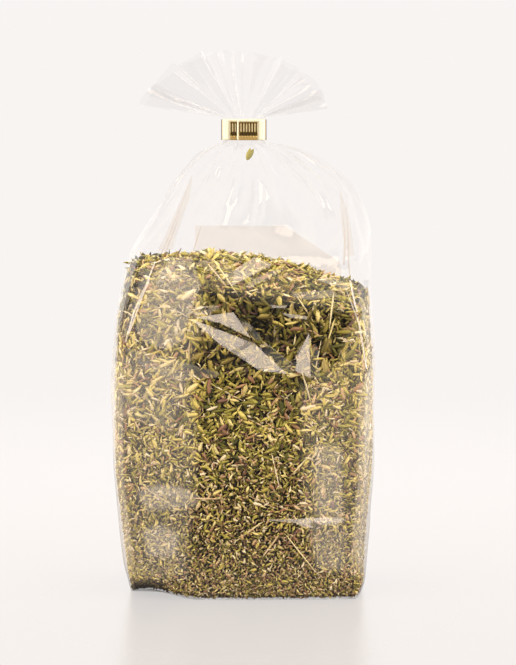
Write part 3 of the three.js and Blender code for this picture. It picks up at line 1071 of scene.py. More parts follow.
    def dust(self, share: np.ndarray, places: Points, on_wall: np.ndarray) -> np.ndarray:
        """Gives how whitish the film is from dusting and painted glare: dusting most down the side gussets
        and some along the base, and dusting with painted glare where it presses and in patches.

        Args:
            share: Shares of the way round.
            places: Points of the plain outline.
            on_wall: Which of them are on the wall.

        Returns:
            Shares from 0 to 1.
        """
        height = places[:, 2]
        low = self.low_dust * (1 - smoothstep(height, *self.low_range))
        pressing = self.pressed.amount(places) * (1 - smoothstep(height, *self.pressing_ends))
        u, v = self.shape.square(share)
        gusset = smoothstep(np.abs(u), *self.edge_side) * (1 - smoothstep(v, *self.edge_front))
        edges = gusset * smoothstep(height, *self.edge_starts) * (1 - smoothstep(height, *self.edge_ends))
        # Dusting everywhere, with painted glare where the film presses and in patches.
        painted = self.finish.haze + low + self.pressed_dust_and_glare * pressing + self.pressed.glare_veil(places)
        painted = np.minimum(painted + self.edge_dust * edges, self.finish.densest)
        return np.where(on_wall, painted, self.finish.haze)

    def crease_patches(self) -> list[Facet]:
        """Gives each stretch of the crease lines as a thin patch, with a painted glint over the heap and
        tanned above it.

        Returns:
            The patches.
        """
        patches = []
        for line in self.creases:
            for start, end in zip(np.array(line[:-1]), np.array(line[1:])):
                run = unit(end - start)
                side = np.array([run[1], -run[0]]) * self.crease_width / 2
                begin = (start,) if start[1] == line[0][1] else (start - side, start + side)
                corners = (*begin, end + side, end - side)
                above_heap = (start[1] + end[1]) / 2 > self.tan_start
                # Over the heap a crease gets a painted glint, above it a tan.
                strength = self.crease_tan if above_heap else self.crease_glint
                patches.append(Facet(tuple(map(tuple, corners)), strength, stain=bool(above_heap)))
        return patches

    def crease(self, form: bmesh.types.BMesh, facet: Facet, laid: set[bmesh.types.BMVert]) -> None:
        """Cuts a facet's outline into the film, whitens the film inside it with painted glare or tints it
        tan, and lays it flat if it has a tip.

        Args:
            form: The film, in metres.
            facet: The facet to make.
            laid: The points that earlier facets laid flat, to which this one's are added.
        """
        corners = np.array(facet.corners) * MM
        low, high = corners.min(0) - self.skirt * MM, corners.max(0) + self.skirt * MM
        geometry: set = set()
        for face in form.faces:
            centre = face.calc_center_median()
            if (centre.y > 0) == facet.back and low[0] < centre.x < high[0] and low[1] < centre.z < high[1]:
                geometry.update((*face.verts, *face.edges, face))
        geometry = list(geometry)
        for start, end in zip(corners, np.roll(corners, -1, axis=0)):
            across = (end[1] - start[1], 0.0, start[0] - end[0])
            cut = bmesh.ops.bisect_plane(
                form, geom=geometry, dist=TINY, plane_co=(start[0], 0, start[1]), plane_no=across
            )
            geometry = cut["geom"]
        faces = [part for part in geometry if isinstance(part, bmesh.types.BMFace)]
        centres = np.array([face.calc_center_median()[:] for face in faces])[:, [0, 2]]
        # Painted glare whitens the film in one layer, and a tint tans it in the other.
        haze = form.faces.layers.float["stain" if facet.stain else "haze"]
        for face, inside in zip(faces, inside_polygon(centres, corners)):
            if inside:
                face[haze] = max(face[haze], facet.haze)
        if facet.tip is not None:
            points = [part for part in geometry if isinstance(part, bmesh.types.BMVert)]
            self.lay_flat(form, facet, points, laid)

    def lay_flat(
        self,
        form: bmesh.types.BMesh,
        facet: Facet,
        points: list[bmesh.types.BMVert],
        laid: set[bmesh.types.BMVert],
    ) -> None:
        """Lays a facet of the front film flat on a tilted plane, with a skirt that eases into the film.

        Args:
            form: The film, in metres.
            facet: The facet, already cut into the film.
            points: The film's points in and round the facet.
            laid: The points that earlier facets laid flat, to which this one's are added.
        """
        corners = np.array(facet.corners) * MM
        flat = np.array([(point.co.x, point.co.z) for point in points])
        depth = np.array([-point.co.y for point in points])
        away, nearest = distance_to_polygon(flat, corners)
        slope = np.array([math.tan(math.radians(facet.turn)), -math.tan(math.radians(facet.tip))])
        within = away <= 1e-7
        plane = nearest @ slope
        offset = np.max(depth[within] - plane[within]) - self.sink * MM
        raised = (offset + plane - depth) * np.clip(1 - away / (self.skirt * MM), 0, 1)
        crinkle = form.verts.layers.float["crinkle"]
        for point, rise, own in zip(points, raised, within):
            if own:
                point[crinkle] = self.facet_crinkle
            if own or point not in laid:
                point.co.y -= rise
        log.info("facet at %s stands out %.1f mm", facet.corners[0], raised[within].max() / MM)
        laid.update(point for point, own in zip(points, within) if own)
        gaps, _ = nearest_on_line(flat, closed_line(corners))
        rim = {point for point, gap in zip(points, gaps) if gap < TINY}
        for edge in {edge for point in rim for edge in point.link_edges}:
            if edge.verts[0] in rim and edge.verts[1] in rim:
                edge.smooth = False

    def build(self) -> bpy.types.Object:
        """Makes the film, closes its seam and creases its facets.

        Returns:
            The film's object.
        """
        mesh = self.sheet()
        form = bmesh.new()
        form.from_mesh(mesh)
        bmesh.ops.remove_doubles(form, verts=form.verts, dist=1e-7)
        for layer in ("haze", "stain"):
            form.faces.layers.float.new(layer)
        laid: set[bmesh.types.BMVert] = set()
        for facet in (*self.facets, *self.crease_patches()):
            self.crease(form, facet, laid)
        for face in form.faces:
            face.smooth = True
        form.to_mesh(mesh)
        form.free()
        return place_piece("film_bag", mesh, self.finish.material(), Node.FILM)


@dataclass(frozen=True)
class LeafTemplate:
    """One leaf as a small closed form, long along its third axis, to be copied many times."""

    rings: int
    sides: int = 4

    def form(self) -> tuple[Points, np.ndarray]:
        """Makes the template from a ball of few faces.

        Returns:
            Vertices from -1 to 1 and triangles.
        """
        ball = bmesh.new()
        bmesh.ops.create_uvsphere(ball, u_segments=self.sides, v_segments=self.rings, radius=1.0)
        bmesh.ops.triangulate(ball, faces=ball.faces)
        bmesh.ops.recalc_face_normals(ball, faces=ball.faces)
        ball.verts.index_update()
        points = np.array([vertex.co[:] for vertex in ball.verts])
        triangles = np.array([[vertex.index for vertex in face.verts] for face in ball.faces])
        ball.free()
        return points, triangles


@dataclass
class LeafCopies:
    """Where each copy of a leaf lies, how large it is and which tone it has. Millimetres."""

    at: Points
    along: Points
    across: Points
    out: Points
    length: np.ndarray
    width: np.ndarray
    fold: np.ndarray
    bend: np.ndarray
    tone: np.ndarray
    shade: np.ndarray
    floor: ClassVar[float] = 0.3
    taper: ClassVar[float] = 0.24
    blunt: ClassVar[float] = 0.8
    tone_range: ClassVar[Range] = (0.02, 0.98)
    shade_range: ClassVar[Range] = (0.13, 0.77)
    two_tone: ClassVar[float] = 0.015
    lit_rim: ClassVar[float] = 0.16
    lit_side: ClassVar[float] = 0.1
    dark_tip: ClassVar[float] = 0.03
    pointed: ClassVar[float] = 1.5
    level_share: ClassVar[float] = 0.4

    def chosen(self, which: np.ndarray) -> LeafCopies:
        """Gives some of the copies."""
        return LeafCopies(*[getattr(self, part.name)[which] for part in fields(self)])

    def mesh(self, name: str, template: LeafTemplate, plump: float = 0.09) -> bpy.types.Mesh:
        """Copies the template to every place.

        Args:
            name: The mesh's name.
            template: The leaf to copy.
            plump: Thickness as a share of the width.

        Returns:
            One mesh of all copies, with their tones in its UV map.
        """
        points, triangles = template.form()
        ring = points[:, 2]
        girth = np.sqrt(np.maximum(0, 1 - ring**2))
        thick = np.where(girth > TINY, girth, np.inf)
        side, top = points[:, 0] / thick, points[:, 1] / thick
        stretch = np.sign(ring) * np.abs(ring) ** self.pointed
        blade = np.where(girth > TINY, (1 - self.taper * ring) * girth**self.blunt, 0)
        half_length, half_width = self.length[:, None] / 2, self.width[:, None] / 2
        ridge = self.fold[:, None] * half_width * blade * (0.5 - np.abs(side))
        arch = self.bend[:, None] * half_length * (self.level_share - stretch**2)
        height = 2 * plump * half_width * blade * top + ridge + arch
        places = (
            self.at[:, None]
            + (half_length * stretch)[..., None] * self.along[:, None]
            + (half_width * blade * side)[..., None] * self.across[:, None]
            + height[..., None] * self.out[:, None]
        )
        copies = len(self.at)
        corners = (triangles[None] + len(points) * np.arange(copies)[:, None, None]).reshape(-1)
        mesh = bpy.data.meshes.new(name)
        mesh.vertices.add(copies * len(points))
        mesh.loops.add(len(corners))
        mesh.polygons.add(len(corners) // 3)
        mesh.loops.foreach_set("vertex_index", corners.astype(np.int32))
        mesh.polygons.foreach_set("loop_start", np.arange(0, len(corners), 3, dtype=np.int32))
        places[..., 2] = np.maximum(places[..., 2], self.floor)
        set_vertices(mesh, places.reshape(-1, 3))
        mesh.update(calc_edges=True)
        tone = np.clip(self.tone, *self.tone_range)[:, None] + self.two_tone * side
        # Painted light on each leaf: rims lit and the midrib shaded, one half lit and the other shaded, and
        # one end darker.
        rim = self.lit_rim * (np.abs(side) - 0.5) + self.lit_side * side - self.dark_tip * stretch
        shade = np.clip(self.shade, *self.shade_range)[:, None] + rim
        add_leaf_map(mesh, tone.ravel(), shade.ravel())
        return mesh


@dataclass(frozen=True)
class LeafSizes:
    """Mean lengths of a kind of leaf at the base and near the top, and its width as a share of the length."""

    low: float
    high: float
    slim: float


@dataclass
class ThymeHeap:
    """The filling: dried leaves pressed to the film, crumbs sunk low, loose leaves and stalks on top."""

    shape: BagShape
    pressed: PressedZones
    leaf_finish: DriedLeaf
    fines_finish: LeafFines
    whole_leaves: int = 19000
    crumbs: int = 36000
    top_leaves: int = 3000
    base_crumbs: int = 2500
    wall_stalks: int = 44
    lowest: float = 0.8
    split_height: float = 52.0
    clearance: float = 0.8
    shallow: float = 3.1
    deepest: float = 5.0
    core_inset: float = 5.6
    foot_inset: float = 0.8
    foot_height: float = 0.45
    upper_shade: float = 0.33
    low_light: float = 0.12
    foot_shade: float = 0.5
    corner_shade: float = 0.65
    beside_shade: float = 0.2
    stalk_plump: float = 0.8
    seed: int = 21
    back_middle: float = 0.25
    front_middle: float = 0.75
    front_share: float = 0.156
    marked_stalks: tuple[Corners, ...] = (
        ((17.0, 27.5), (32.0, 8.3)),
        ((-15.4, 136.3), (-3.7, 119.2)),
        ((-17.4, 133.6), (-8.8, 123.0)),
        ((39.7, 122.0), (37.6, 106.0)),
        ((39.9, 112.0), (36.3, 100.5)),
    )
    tone_centres: tuple[float, ...] = (0.06, 0.14, 0.23, 0.33, 0.45, 0.56, 0.68, 0.77, 0.86, 0.94)
    high_odds: tuple[float, ...] = (0.07, 0.11, 0.17, 0.21, 0.19, 0.10, 0.03, 0.04, 0.05, 0.03)
    low_odds: tuple[float, ...] = (0.03, 0.05, 0.08, 0.12, 0.15, 0.14, 0.10, 0.20, 0.12, 0.03)
    pale_odds: tuple[float, ...] = (0.02, 0.04, 0.09, 0.15, 0.22, 0.22, 0.13, 0.08, 0.04, 0.01)
    tone_range: Range = (15.0, 95.0)
    tone_scatter: float = 0.025
    bright: float = 0.86
    sunk_shade: float = 0.8
    sunk_range: Range = (1.5, 3.7)
    pressed_light: float = 0.1
    shade_scatter: float = 0.1
    whole_sizes: LeafSizes = LeafSizes(2.3, 5.8, 0.36)
    crumb_sizes: LeafSizes = LeafSizes(1.45, 2.9, 0.42)
    top_sizes: LeafSizes = LeafSizes(3.0, 5.0, 0.36)
    base_sizes: LeafSizes = LeafSizes(2.6, 3.4, 0.42)
    crumb_bias: float = 1.45
    size_range: Range = (14.0, 118.0)
    size_scatter: float = 0.26
    size_limits: Range = (0.45, 1.6)
    slimmer: float = 0.07
    slim_scatter: float = 0.06
    slim_limits: Range = (0.15, 0.5)
    depth_range: Range = (50.0, 112.0)
    upper_range: Range = (70.0, 100.0)
    low_range: Range = (20.0, 70.0)
    foot_range: Range = (1.0, 3.0)
    front_range: Range = (-24.0, -8.0)
    corner_sides: Range = (-33.0, -28.0)
    corner_range: Range = (3.5, 6.5)
    beside_sides: Range = (-45.0, -38.0)
    beside_range: Range = (100.0, 108.0)
    even_steps: tuple[float, float] = (0.7548776662, 0.5698402909)
    even_scatter: float = 0.004
    depth_power: float = 1.25
    tip_clearance: float = 0.25
    roll_clearance: float = 0.2
    steepest: float = 0.9
    pitch_share: float = 0.9
    roll_share: float = 0.85
    folds: Range = (0.25, 0.8)
    bend: float = 0.14
    top_inset: float = 3.0
    top_sunk: Range = (-1.0, 3.0)
    top_pitch: float = 0.45
    top_roll: float = 0.7
    top_bend: float = 0.12
    top_pale: float = 0.3
    base_inset: float = 2.0
    base_rise: Range = (0.8, 2.4)
    base_roll: float = 0.3
    base_folds: Range = (0.2, 0.6)
    stalk_spread: float = 1.5
    stalk_heights: Range = (12.0, 118.0)
    stalk_depths: Range = (0.9, 2.0)
    stalk_lengths: Range = (8.0, 17.0)
    stalk_widths: Range = (0.5, 0.9)
    stalk_bend: float = 0.03
    stalk_tones: Range = (0.58, 0.76)
    stalk_shades: Range = (0.7, 0.95)
    marked_depth: float = 0.6
    core_steps: tuple[int, int] = (96, 64)
    core_ends: Range = (0.12, 0.8)
    core_foot: Range = (1.0, 4.0)
    core_floor: float = 0.2

    def __post_init__(self) -> None:
        """Starts the seeded draws."""
        self.draw = np.random.default_rng(self.seed)

    def tones(self, at: Points, paleness: np.ndarray) -> np.ndarray:
        """Draws tones: greener high up, browner low down, paler where the film presses, as painted light.

        Args:
            at: Places of the leaves.
            paleness: How pale the leaves are there, from 0 to 1.

        Returns:
            Tones from 0 to 1.
        """
        high, low, pale = (np.array(odds) for odds in (self.high_odds, self.low_odds, self.pale_odds))
        odds = low + (high - low) * smoothstep(at[:, 2], *self.tone_range)[:, None]
        odds += (pale - odds) * paleness[:, None]
        odds = np.cumsum(odds, axis=1)
        pick = (self.draw.random(len(at))[:, None] * odds[:, -1:] > odds).sum(1)
        centres = np.array(self.tone_centres)[np.minimum(pick, len(self.tone_centres) - 1)]
        return centres + self.draw.normal(0, self.tone_scatter, len(at))

    def shades(self, depth: np.ndarray, paleness: np.ndarray) -> np.ndarray:
        """Draws how bright the leaves are: painted shade in the depth, and painted light where the film
        presses.

        Args:
            depth: How deep the leaves lie.
            paleness: How pale the leaves are there, from 0 to 1.

        Returns:
            Shades from 0 to 1.
        """
        sunk = self.sunk_shade * smoothstep(depth, *self.sunk_range)
        scatter = self.draw.normal(0, self.shade_scatter, len(depth))
        return self.bright - sunk + self.pressed_light * paleness + scatter

    def turned(
        self, around: Points, rising: Points, out: Points, pitch: np.ndarray, roll: np.ndarray
    ) -> tuple[Points, Points, Points]:
        """Turns leaves at random on the surface that they lie on.

        Args:
            around: One direction along the surface.
            rising: The other direction along the surface.
            out: The direction out of the surface.
            pitch: How far each leaf's length tips out of the surface.
            roll: How far each leaf is rolled about its length.

        Returns:
            Each leaf's directions along, across and out.
        """
        heading = self.draw.uniform(0, TAU, len(out))[:, None]
        along = np.cos(heading) * around + np.sin(heading) * rising
        across = np.cos(heading) * rising - np.sin(heading) * around
        pitch, roll = pitch[:, None], roll[:, None]
        tipped = np.cos(pitch) * along + np.sin(pitch) * out
        lifted = np.cos(pitch) * out - np.sin(pitch) * along
        return (
            tipped,
            np.cos(roll) * across - np.sin(roll) * lifted,
            np.cos(roll) * lifted + np.sin(roll) * across,
        )

    def spread(self, count: int) -> tuple[np.ndarray, np.ndarray]:
        """Spreads places evenly over a unit square, without a pattern that shows.

        Args:
            count: How many.

        Returns:
            The places' two coordinates.
        """
        steps = np.arange(count)[:, None] * np.array(self.even_steps)
        even = (steps + self.draw.uniform(0, self.even_scatter, (count, 2))) % 1
        return even[:, 0], even[:, 1]

    def sizes(self, height: np.ndarray, kind: LeafSizes) -> tuple[np.ndarray, np.ndarray]:
        """Draws lengths and widths: smaller low down, where the broken leaves settle.

        Args:
            height: Heights of the leaves.
            kind: Their mean sizes.

        Returns:
            Lengths and widths.
        """
        grown = smoothstep(height, *self.size_range)
        scatter = np.clip(self.draw.normal(1, self.size_scatter, len(height)), *self.size_limits)
        length = (kind.low + (kind.high - kind.low) * grown) * scatter
        slim = self.draw.normal(kind.slim - self.slimmer * grown, self.slim_scatter)
        return length, length * np.clip(slim, *self.slim_limits)

    def level_frame(self, count: int, facing: float) -> tuple[Points, ...]:
        """Gives the directions along and out of a level place for some leaves, facing up or down."""
        return tuple(np.tile(way, (count, 1)) for way in ((1.0, 0, 0), (0, 1.0, 0), (0, 0, facing)))

    def on_wall(self, count: int, kind: LeafSizes, bias: float) -> LeafCopies:
        """Lays leaves against the film.

        Args:
            count: How many.
            kind: Their mean sizes.
            bias: Above 1, more of them lie low down.

        Returns:
            The leaves' places.
        """
        shape = self.shape
        share, rise = self.spread(count)
        rim = shape.wall(share, np.full(count, shape.heap_rim))
        top = shape.heap_top(rim[:, 0], rim[:, 1])
        height = self.lowest + (top - self.lowest) * rise**bias
        length, width = self.sizes(height, kind)
        deepest = self.shallow + (self.deepest - self.shallow) * smoothstep(height, *self.depth_range)
        depth = self.clearance + (deepest - self.clearance) * self.draw.random(count) ** self.depth_power
        at, around, rising, out = shape.wall_frame(share, height, depth)
        room = np.clip((depth - self.tip_clearance) / length * 2, 0, self.steepest)
        pitch = np.arcsin(room * self.draw.uniform(-self.pitch_share, self.pitch_share, count))
        turn = np.arcsin(np.clip((depth - self.roll_clearance) / width * 2, 0, 1))
        roll = turn * self.draw.uniform(-self.roll_share, self.roll_share, count)
        frame = self.turned(around, rising, out, pitch, roll)
        fold = self.draw.uniform(*self.folds, count)
        bend = self.draw.normal(0, self.bend, count)
        pale = self.pressed.amount(at)
        tone, shade = self.tones(at, pale), self.shades(depth, pale)
        # Painted shade and light: darker high up where the film doesn't press, lighter low down, a painted
        # shadow along the foot, and painted shade at the lifted front left corner and high on the front left
        # edge.
        shade -= self.upper_shade * smoothstep(height, *self.upper_range) * (1 - pale)
        shade += self.low_light * (1 - smoothstep(height, *self.low_range))
        shade -= self.foot_shade * (1 - smoothstep(height, *self.foot_range))
        x, y, _ = at.T
        in_front = 1 - smoothstep(y, *self.front_range)
        in_corner = (1 - smoothstep(x, *self.corner_sides)) * (1 - smoothstep(height, *self.corner_range))
        beside = (1 - smoothstep(x, *self.beside_sides)) * smoothstep(height, *self.beside_range)
        shade -= in_front * (self.corner_shade * in_corner + self.beside_shade * beside)
        return LeafCopies(at, *frame, length, width, fold, bend, tone, shade)

    def on_top(self) -> LeafCopies:
        """Scatters loose leaves over the heap's top, some standing up.

        Returns:
            The leaves' places.
        """
        shape, count = self.shape, self.top_leaves
        share, reach = self.spread(count)
        rim = shape.wall(share, np.full(count, shape.heap_rim), self.top_inset)
        x, y = (rim[:, :2] * np.sqrt(reach)[:, None]).T
        sunk = self.draw.uniform(*self.top_sunk, count)
        height = shape.heap_top(x, y) - sunk
        length, width = self.sizes(height, self.top_sizes)
        pitch, roll = (self.draw.normal(0, spread, count) for spread in (self.top_pitch, self.top_roll))
        frame = self.turned(*self.level_frame(count, 1.0), pitch, roll)
        fold = self.draw.uniform(*self.folds, count)
        bend = self.draw.normal(0, self.top_bend, count)
        at = np.stack([x, y, height], -1)
        # The top leaves are painted paler and brighter, as painted light.
        pale = np.full(count, self.top_pale)
        tone, shade = self.tones(at, pale), self.shades(np.maximum(0, sunk), pale)
        return LeafCopies(at, *frame, length, width, fold, bend, tone, shade)

    def under_base(self) -> LeafCopies:
        """Lays crumbs on the film of the base.

        Returns:
            The crumbs' places.
        """
        shape, count = self.shape, self.base_crumbs
        share, reach = self.spread(count)
        base = np.full(count, shape.base_height)
        at = shape.wall(share, base, self.base_inset, np.sqrt(reach))
        at[:, 2] += self.draw.uniform(*self.base_rise, count)
        length, width = self.sizes(at[:, 2], self.base_sizes)
        flat = np.zeros(count)
        roll = self.draw.normal(0, self.base_roll, count)
        frame = self.turned(*self.level_frame(count, -1.0), flat, roll)
        fold = self.draw.uniform(*self.base_folds, count)
        tone, shade = self.tones(at, flat), self.shades(flat, flat)
        return LeafCopies(at, *frame, length, width, fold, flat, tone, shade)

    def stalks(self) -> LeafCopies:
        """Lays bits of stalk against the film, some at random and some at marked places on the front.

        Returns:
            The stalks' places.
        """
        shape, count = self.shape, self.wall_stalks
        sideways, rise = self.spread(count)
        facing = self.draw.choice([self.back_middle, self.front_middle], count)
        share = facing + self.front_share * self.stalk_spread * (sideways - 0.5)
        lowest, highest = self.stalk_heights
        depth = self.draw.uniform(*self.stalk_depths, count)
        at, around, rising, out = shape.wall_frame(share, lowest + (highest - lowest) * rise, depth)
        flat = np.zeros(count)
        frame = self.turned(around, rising, out, flat, flat)
        length = self.draw.uniform(*self.stalk_lengths, count)
        ends = np.array(self.marked_stalks)
        middle, run = ends.mean(1), ends[:, 1] - ends[:, 0]
        front = self.front_middle + self.front_share * middle[:, 0] / shape.section(middle[:, 1])[0]
        marked_at, sideways, upwards, outwards = shape.wall_frame(front, middle[:, 1], self.marked_depth)
        marked_along = unit(run[:, :1] * sideways + run[:, 1:] * upwards)
        marked = (marked_along, np.cross(outwards, marked_along), outwards)
        total = count + len(ends)
        return LeafCopies(
            np.vstack([at, marked_at]),
            *[np.vstack(pair) for pair in zip(frame, marked)],
            np.concatenate([length, np.linalg.norm(run, axis=1)]),
            self.draw.uniform(*self.stalk_widths, total),
            np.zeros(total),
            self.draw.normal(0, self.stalk_bend, total),
            self.draw.uniform(*self.stalk_tones, total),
            self.draw.uniform(*self.stalk_shades, total),
        )

    def core(self) -> bpy.types.Mesh:
        """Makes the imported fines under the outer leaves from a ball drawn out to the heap's shape.

        Returns:
            The core's mesh.
        """
        shape = self.shape
        ball = bmesh.new()
        around, up = self.core_steps
        bmesh.ops.create_uvsphere(ball, u_segments=around, v_segments=up, radius=1.0)
        mesh = mesh_of(ball, "packed_fines")
        points = vertices_of(mesh)
        share = np.arctan2(points[:, 1], points[:, 0]) / TAU
        rise = 0.5 + np.arcsin(np.clip(points[:, 2], -1, 1)) / math.pi
        spread_base, spread_top = self.core_ends
        height_share = np.clip((rise - spread_base) / (spread_top - spread_base), 0, 1)
        rim = shape.wall(share, np.full(len(share), shape.heap_rim), self.core_inset)
        top = shape.heap_top(rim[:, 0], rim[:, 1]) - self.core_inset
        height = self.foot_height + (top - self.foot_height) * height_share
        inward = np.clip(np.minimum(rise / spread_base, (1 - rise) / (1 - spread_top)), 0, 1)
        # The foot reaches close to the film, so the dark fines draw a painted shadow line along the base.
        inset = self.foot_inset + (self.core_inset - self.foot_inset) * smoothstep(height, *self.core_foot)
        places = shape.wall(share, height, inset, inward)
        under = rise < spread_base
        places[under, 2] += shape.heap_floor * smoothstep(1 - inward[under], 0, self.core_floor)
        over = rise > spread_top
        crown = shape.heap_top(places[:, 0], places[:, 1]) - self.core_inset
        places[over, 2] = crown[over]
        set_vertices(mesh, places)
        return mesh

    def build(self) -> list[bpy.types.Object]:
        """Makes every layer of the heap.

        Returns:
            The heap's objects.
        """
        leaf = self.leaf_finish.material()
        whole, crumb = LeafTemplate(rings=4), LeafTemplate(rings=3)
        layers: dict[str, tuple[LeafCopies, LeafTemplate]] = {}
        for name, copies, template in (
            ("leaves", self.on_wall(self.whole_leaves, self.whole_sizes, 1.0), whole),
            ("crumbs", self.on_wall(self.crumbs, self.crumb_sizes, self.crumb_bias), crumb),
        ):
            front, high = copies.at[:, 1] < 0, copies.at[:, 2] > self.split_height
            sides, levels = {"front": front, "back": ~front}, {"high": high, "low": ~high}
            for (side, facing), (level, there) in product(sides.items(), levels.items()):
                layers[f"{name}_{side}_{level}"] = (copies.chosen(facing & there), template)
        layers["leaves_top"] = (self.on_top(), whole)
        layers["crumbs_base"] = (self.under_base(), crumb)
        meshes = {name: copies.mesh(name, template) for name, (copies, template) in layers.items()}
        meshes["stalks"] = self.stalks().mesh("stalks", whole, self.stalk_plump)
        pieces = [place_piece(name, mesh, leaf, Node.LEAVES) for name, mesh in meshes.items()]
        fines = self.fines_finish.material()
        return [*pieces, place_piece("packed_fines", self.core(), fines, Node.LEAVES)]


@dataclass
class StrayLeaf:
    """One leaf that clings inside the neck, below the clip, folded along its midrib with a broken tip."""

    shape: BagShape
    finish: DriedLeaf
    length: float = 5.6
    width: float = 2.5
    x: float = 1.9
    height: float = 174.6
    lean: float = 0.35
    inset: float = 1.5
    fold: float = 0.45
    notch: float = 1.0
    thickness: float = 0.25
    tone: float = 0.24
    two_tone: float = 0.06
    shade: float = 0.6
    paler: float = 0.15
    blade_ends: Range = (0.06, 0.86)
    blunt: float = 0.7
    torn_range: Range = (0.7, 1.0)
    wall_span: float = 2.0
    steps: tuple[int, int] = (8, 16)

    def build(self) -> bpy.types.Object:
        """Makes the leaf from a small grid.

        Returns:
            The leaf's object.
        """
        mesh, across, along = grid_mesh("stray_leaf", *self.steps)
        side = 2 * across - 1
        stalk_end, tip = self.blade_ends
        half = self.width / 2 * np.sin(math.pi * (stalk_end + (tip - stalk_end) * along)) ** self.blunt
        sideways = half * side
        torn = self.notch * smoothstep(along, *self.torn_range) * (1 - np.abs(side))
        lengthwise = self.length * (along - 0.5) - torn
        ridge = self.fold * half * (0.5 - np.abs(side))
        depths = self.shape.section(self.height + self.wall_span * np.array([-1, 0, 1]))[1]
        wall = self.inset - depths * (1 - self.shape.pleat_share)
        rise = unit(np.array([0, wall[2] - wall[0], 2 * self.wall_span]))
        level = np.array([1.0, 0, 0])
        out = np.cross(level, rise)
        stem = rise * math.cos(self.lean) + level * math.sin(self.lean)
        beside = np.cross(stem, -out)
        centre = np.array([self.x, wall[1], self.height])
        places = centre + np.outer(lengthwise, stem) + np.outer(sideways, beside) + np.outer(ridge, out)
        set_vertices(mesh, places)
        shade = self.shade + self.paler * (along + np.abs(side))
        add_leaf_map(mesh, self.tone + self.two_tone * side, shade)
        leaf = place_piece("stray_leaf", mesh, self.finish.material(), Node.STRAY)
        thicken(leaf, self.thickness)
        return leaf


@dataclass
class Clip:
    """The stamped strip round the neck, its outer end lapped over the inner one at the front."""

    finish: GoldStrip
    bottom: float = 180.0
    height: float = 8.0
    half_width: float = 8.6
    half_depth: float = 4.3
    centre: float = -0.4
    bend_reach: float = 3.2
    lap_outer_end: float = -2.6
    lap_inner_end: float = 4.2
    lap_gap: float = 0.85
    lap_margin: float = 0.7
    lip: float = 0.6
    thickness: float = 0.45
    rib_pitch: float = 1.1
    rib_depth: float = 0.16
    lower_border: float = 1.7
    upper_border: float = 0.9
    border_soft: float = 0.2
    shaded_ends: float = 1.9
    shaded_head: float = 0.7
    shade_soft: float = 0.6
    rib_shade: float = 0.6
    end_shade: float = 0.7
    head_shade: float = 0.8
    border_shade: float = 0.3
    side_shade: float = 0.85
    side_reach: float = 0.5
    bend_steps: int = 24
    bend_soft: Range = (-0.5, 0.1)
    steps_along: int = 560
    steps_up: int = 26

    def beyond(self, distance: np.ndarray, edge: float) -> np.ndarray:
        """Gives 0 before an edge of the stamping and 1 past it, with a soft step between."""
        return smoothstep(distance, edge - self.border_soft, edge + self.border_soft)

    def line(self) -> tuple[Points, np.ndarray]:
        """Draws the strip's middle line from above, from its inner end round to its outer end.

        Returns:
            Points at even steps, and how flat the strip is at each.
        """
        flat = self.half_width - self.bend_reach + self.thickness / 2
        outer = self.half_depth + self.lap_gap
        angle = np.linspace(0, math.pi, self.bend_steps)[1:-1]
        left = np.stack([-flat - self.bend_reach * np.sin(angle), -self.half_depth * np.cos(angle)], -1)
        middle, radius = (self.half_depth - outer) / 2, (self.half_depth + outer) / 2
        right = np.stack([flat + self.bend_reach * np.sin(angle), middle + radius * np.cos(angle)], -1)
        corners = np.vstack(
            [
                (self.lap_inner_end, -self.half_depth),
                (-flat, -self.half_depth),
                left,
                (-flat, self.half_depth),
                (flat, self.half_depth),
                right,
                (flat, -outer),
                (self.lap_outer_end + self.lip, -outer),
                (self.lap_outer_end, -outer + self.lip / 2),
            ]
        )
        run = np.concatenate([[0], np.cumsum(np.linalg.norm(np.diff(corners, axis=0), axis=1))])
        even = np.linspace(0, run[-1], self.steps_along + 1)
        line = np.stack([np.interp(even, run, corners[:, k]) for k in (0, 1)], -1)
        flatness = 1 - smoothstep(np.abs(line[:, 0]) - flat, *self.bend_soft)
        flatness = flatness * self.beyond(run[-1] - even, self.lap_margin)
        return line, flatness

    def build(self) -> bpy.types.Object:
        """Makes the strip from a grid wrapped round the neck, with ribs stamped into it.

        Returns:
            The clip's object.
        """
        line, flatness = self.line()
        mesh, along, up = grid_mesh("gold_clip", self.steps_along, self.steps_up)
        step = np.rint(along * self.steps_along).astype(int)
        out = np.gradient(line, axis=0)
        out = unit(np.stack([-out[:, 1], out[:, 0]], -1))
        z = up * self.height
        top = self.height - self.upper_border
        border = 1 - self.beyond(z, self.lower_border)
        stamped = (1 - border) * (1 - self.beyond(z, top)) * flatness[step]
        wave = 0.5 + 0.5 * np.cos(TAU * line[step, 0] / self.rib_pitch)
        pressed = self.rib_depth * stamped * (wave - 1)
        # Painted shade: dark in the rib valleys, at both ends of the ribs and at the strip's two ends, with a
        # deeper gold on the lower border.
        shaded_to = self.lower_border + self.shaded_ends
        ends = self.end_shade * (1 - smoothstep(z, shaded_to - self.shade_soft, shaded_to))
        head = self.head_shade * smoothstep(z, top - self.shaded_head, top - self.border_soft)
        sides = smoothstep(np.abs(line[step, 0]), self.half_width - self.side_reach, self.half_width)
        groove = stamped * np.maximum.reduce([(1 - wave) ** self.rib_shade, ends, head])
        border = self.border_shade * border * flatness[step]
        groove = np.maximum.reduce([groove, border, self.side_shade * sides])
        places = line[step] + out[step] * pressed[:, None]
        set_vertices(mesh, np.stack([places[:, 0] + self.centre, places[:, 1], self.bottom + z], -1))
        add_attribute(mesh, "groove", groove)
        mesh.shade_smooth()
        clip = place_piece("gold_clip", mesh, self.finish.material(), Node.CLIP)
        thicken(clip, self.thickness)
        return clip


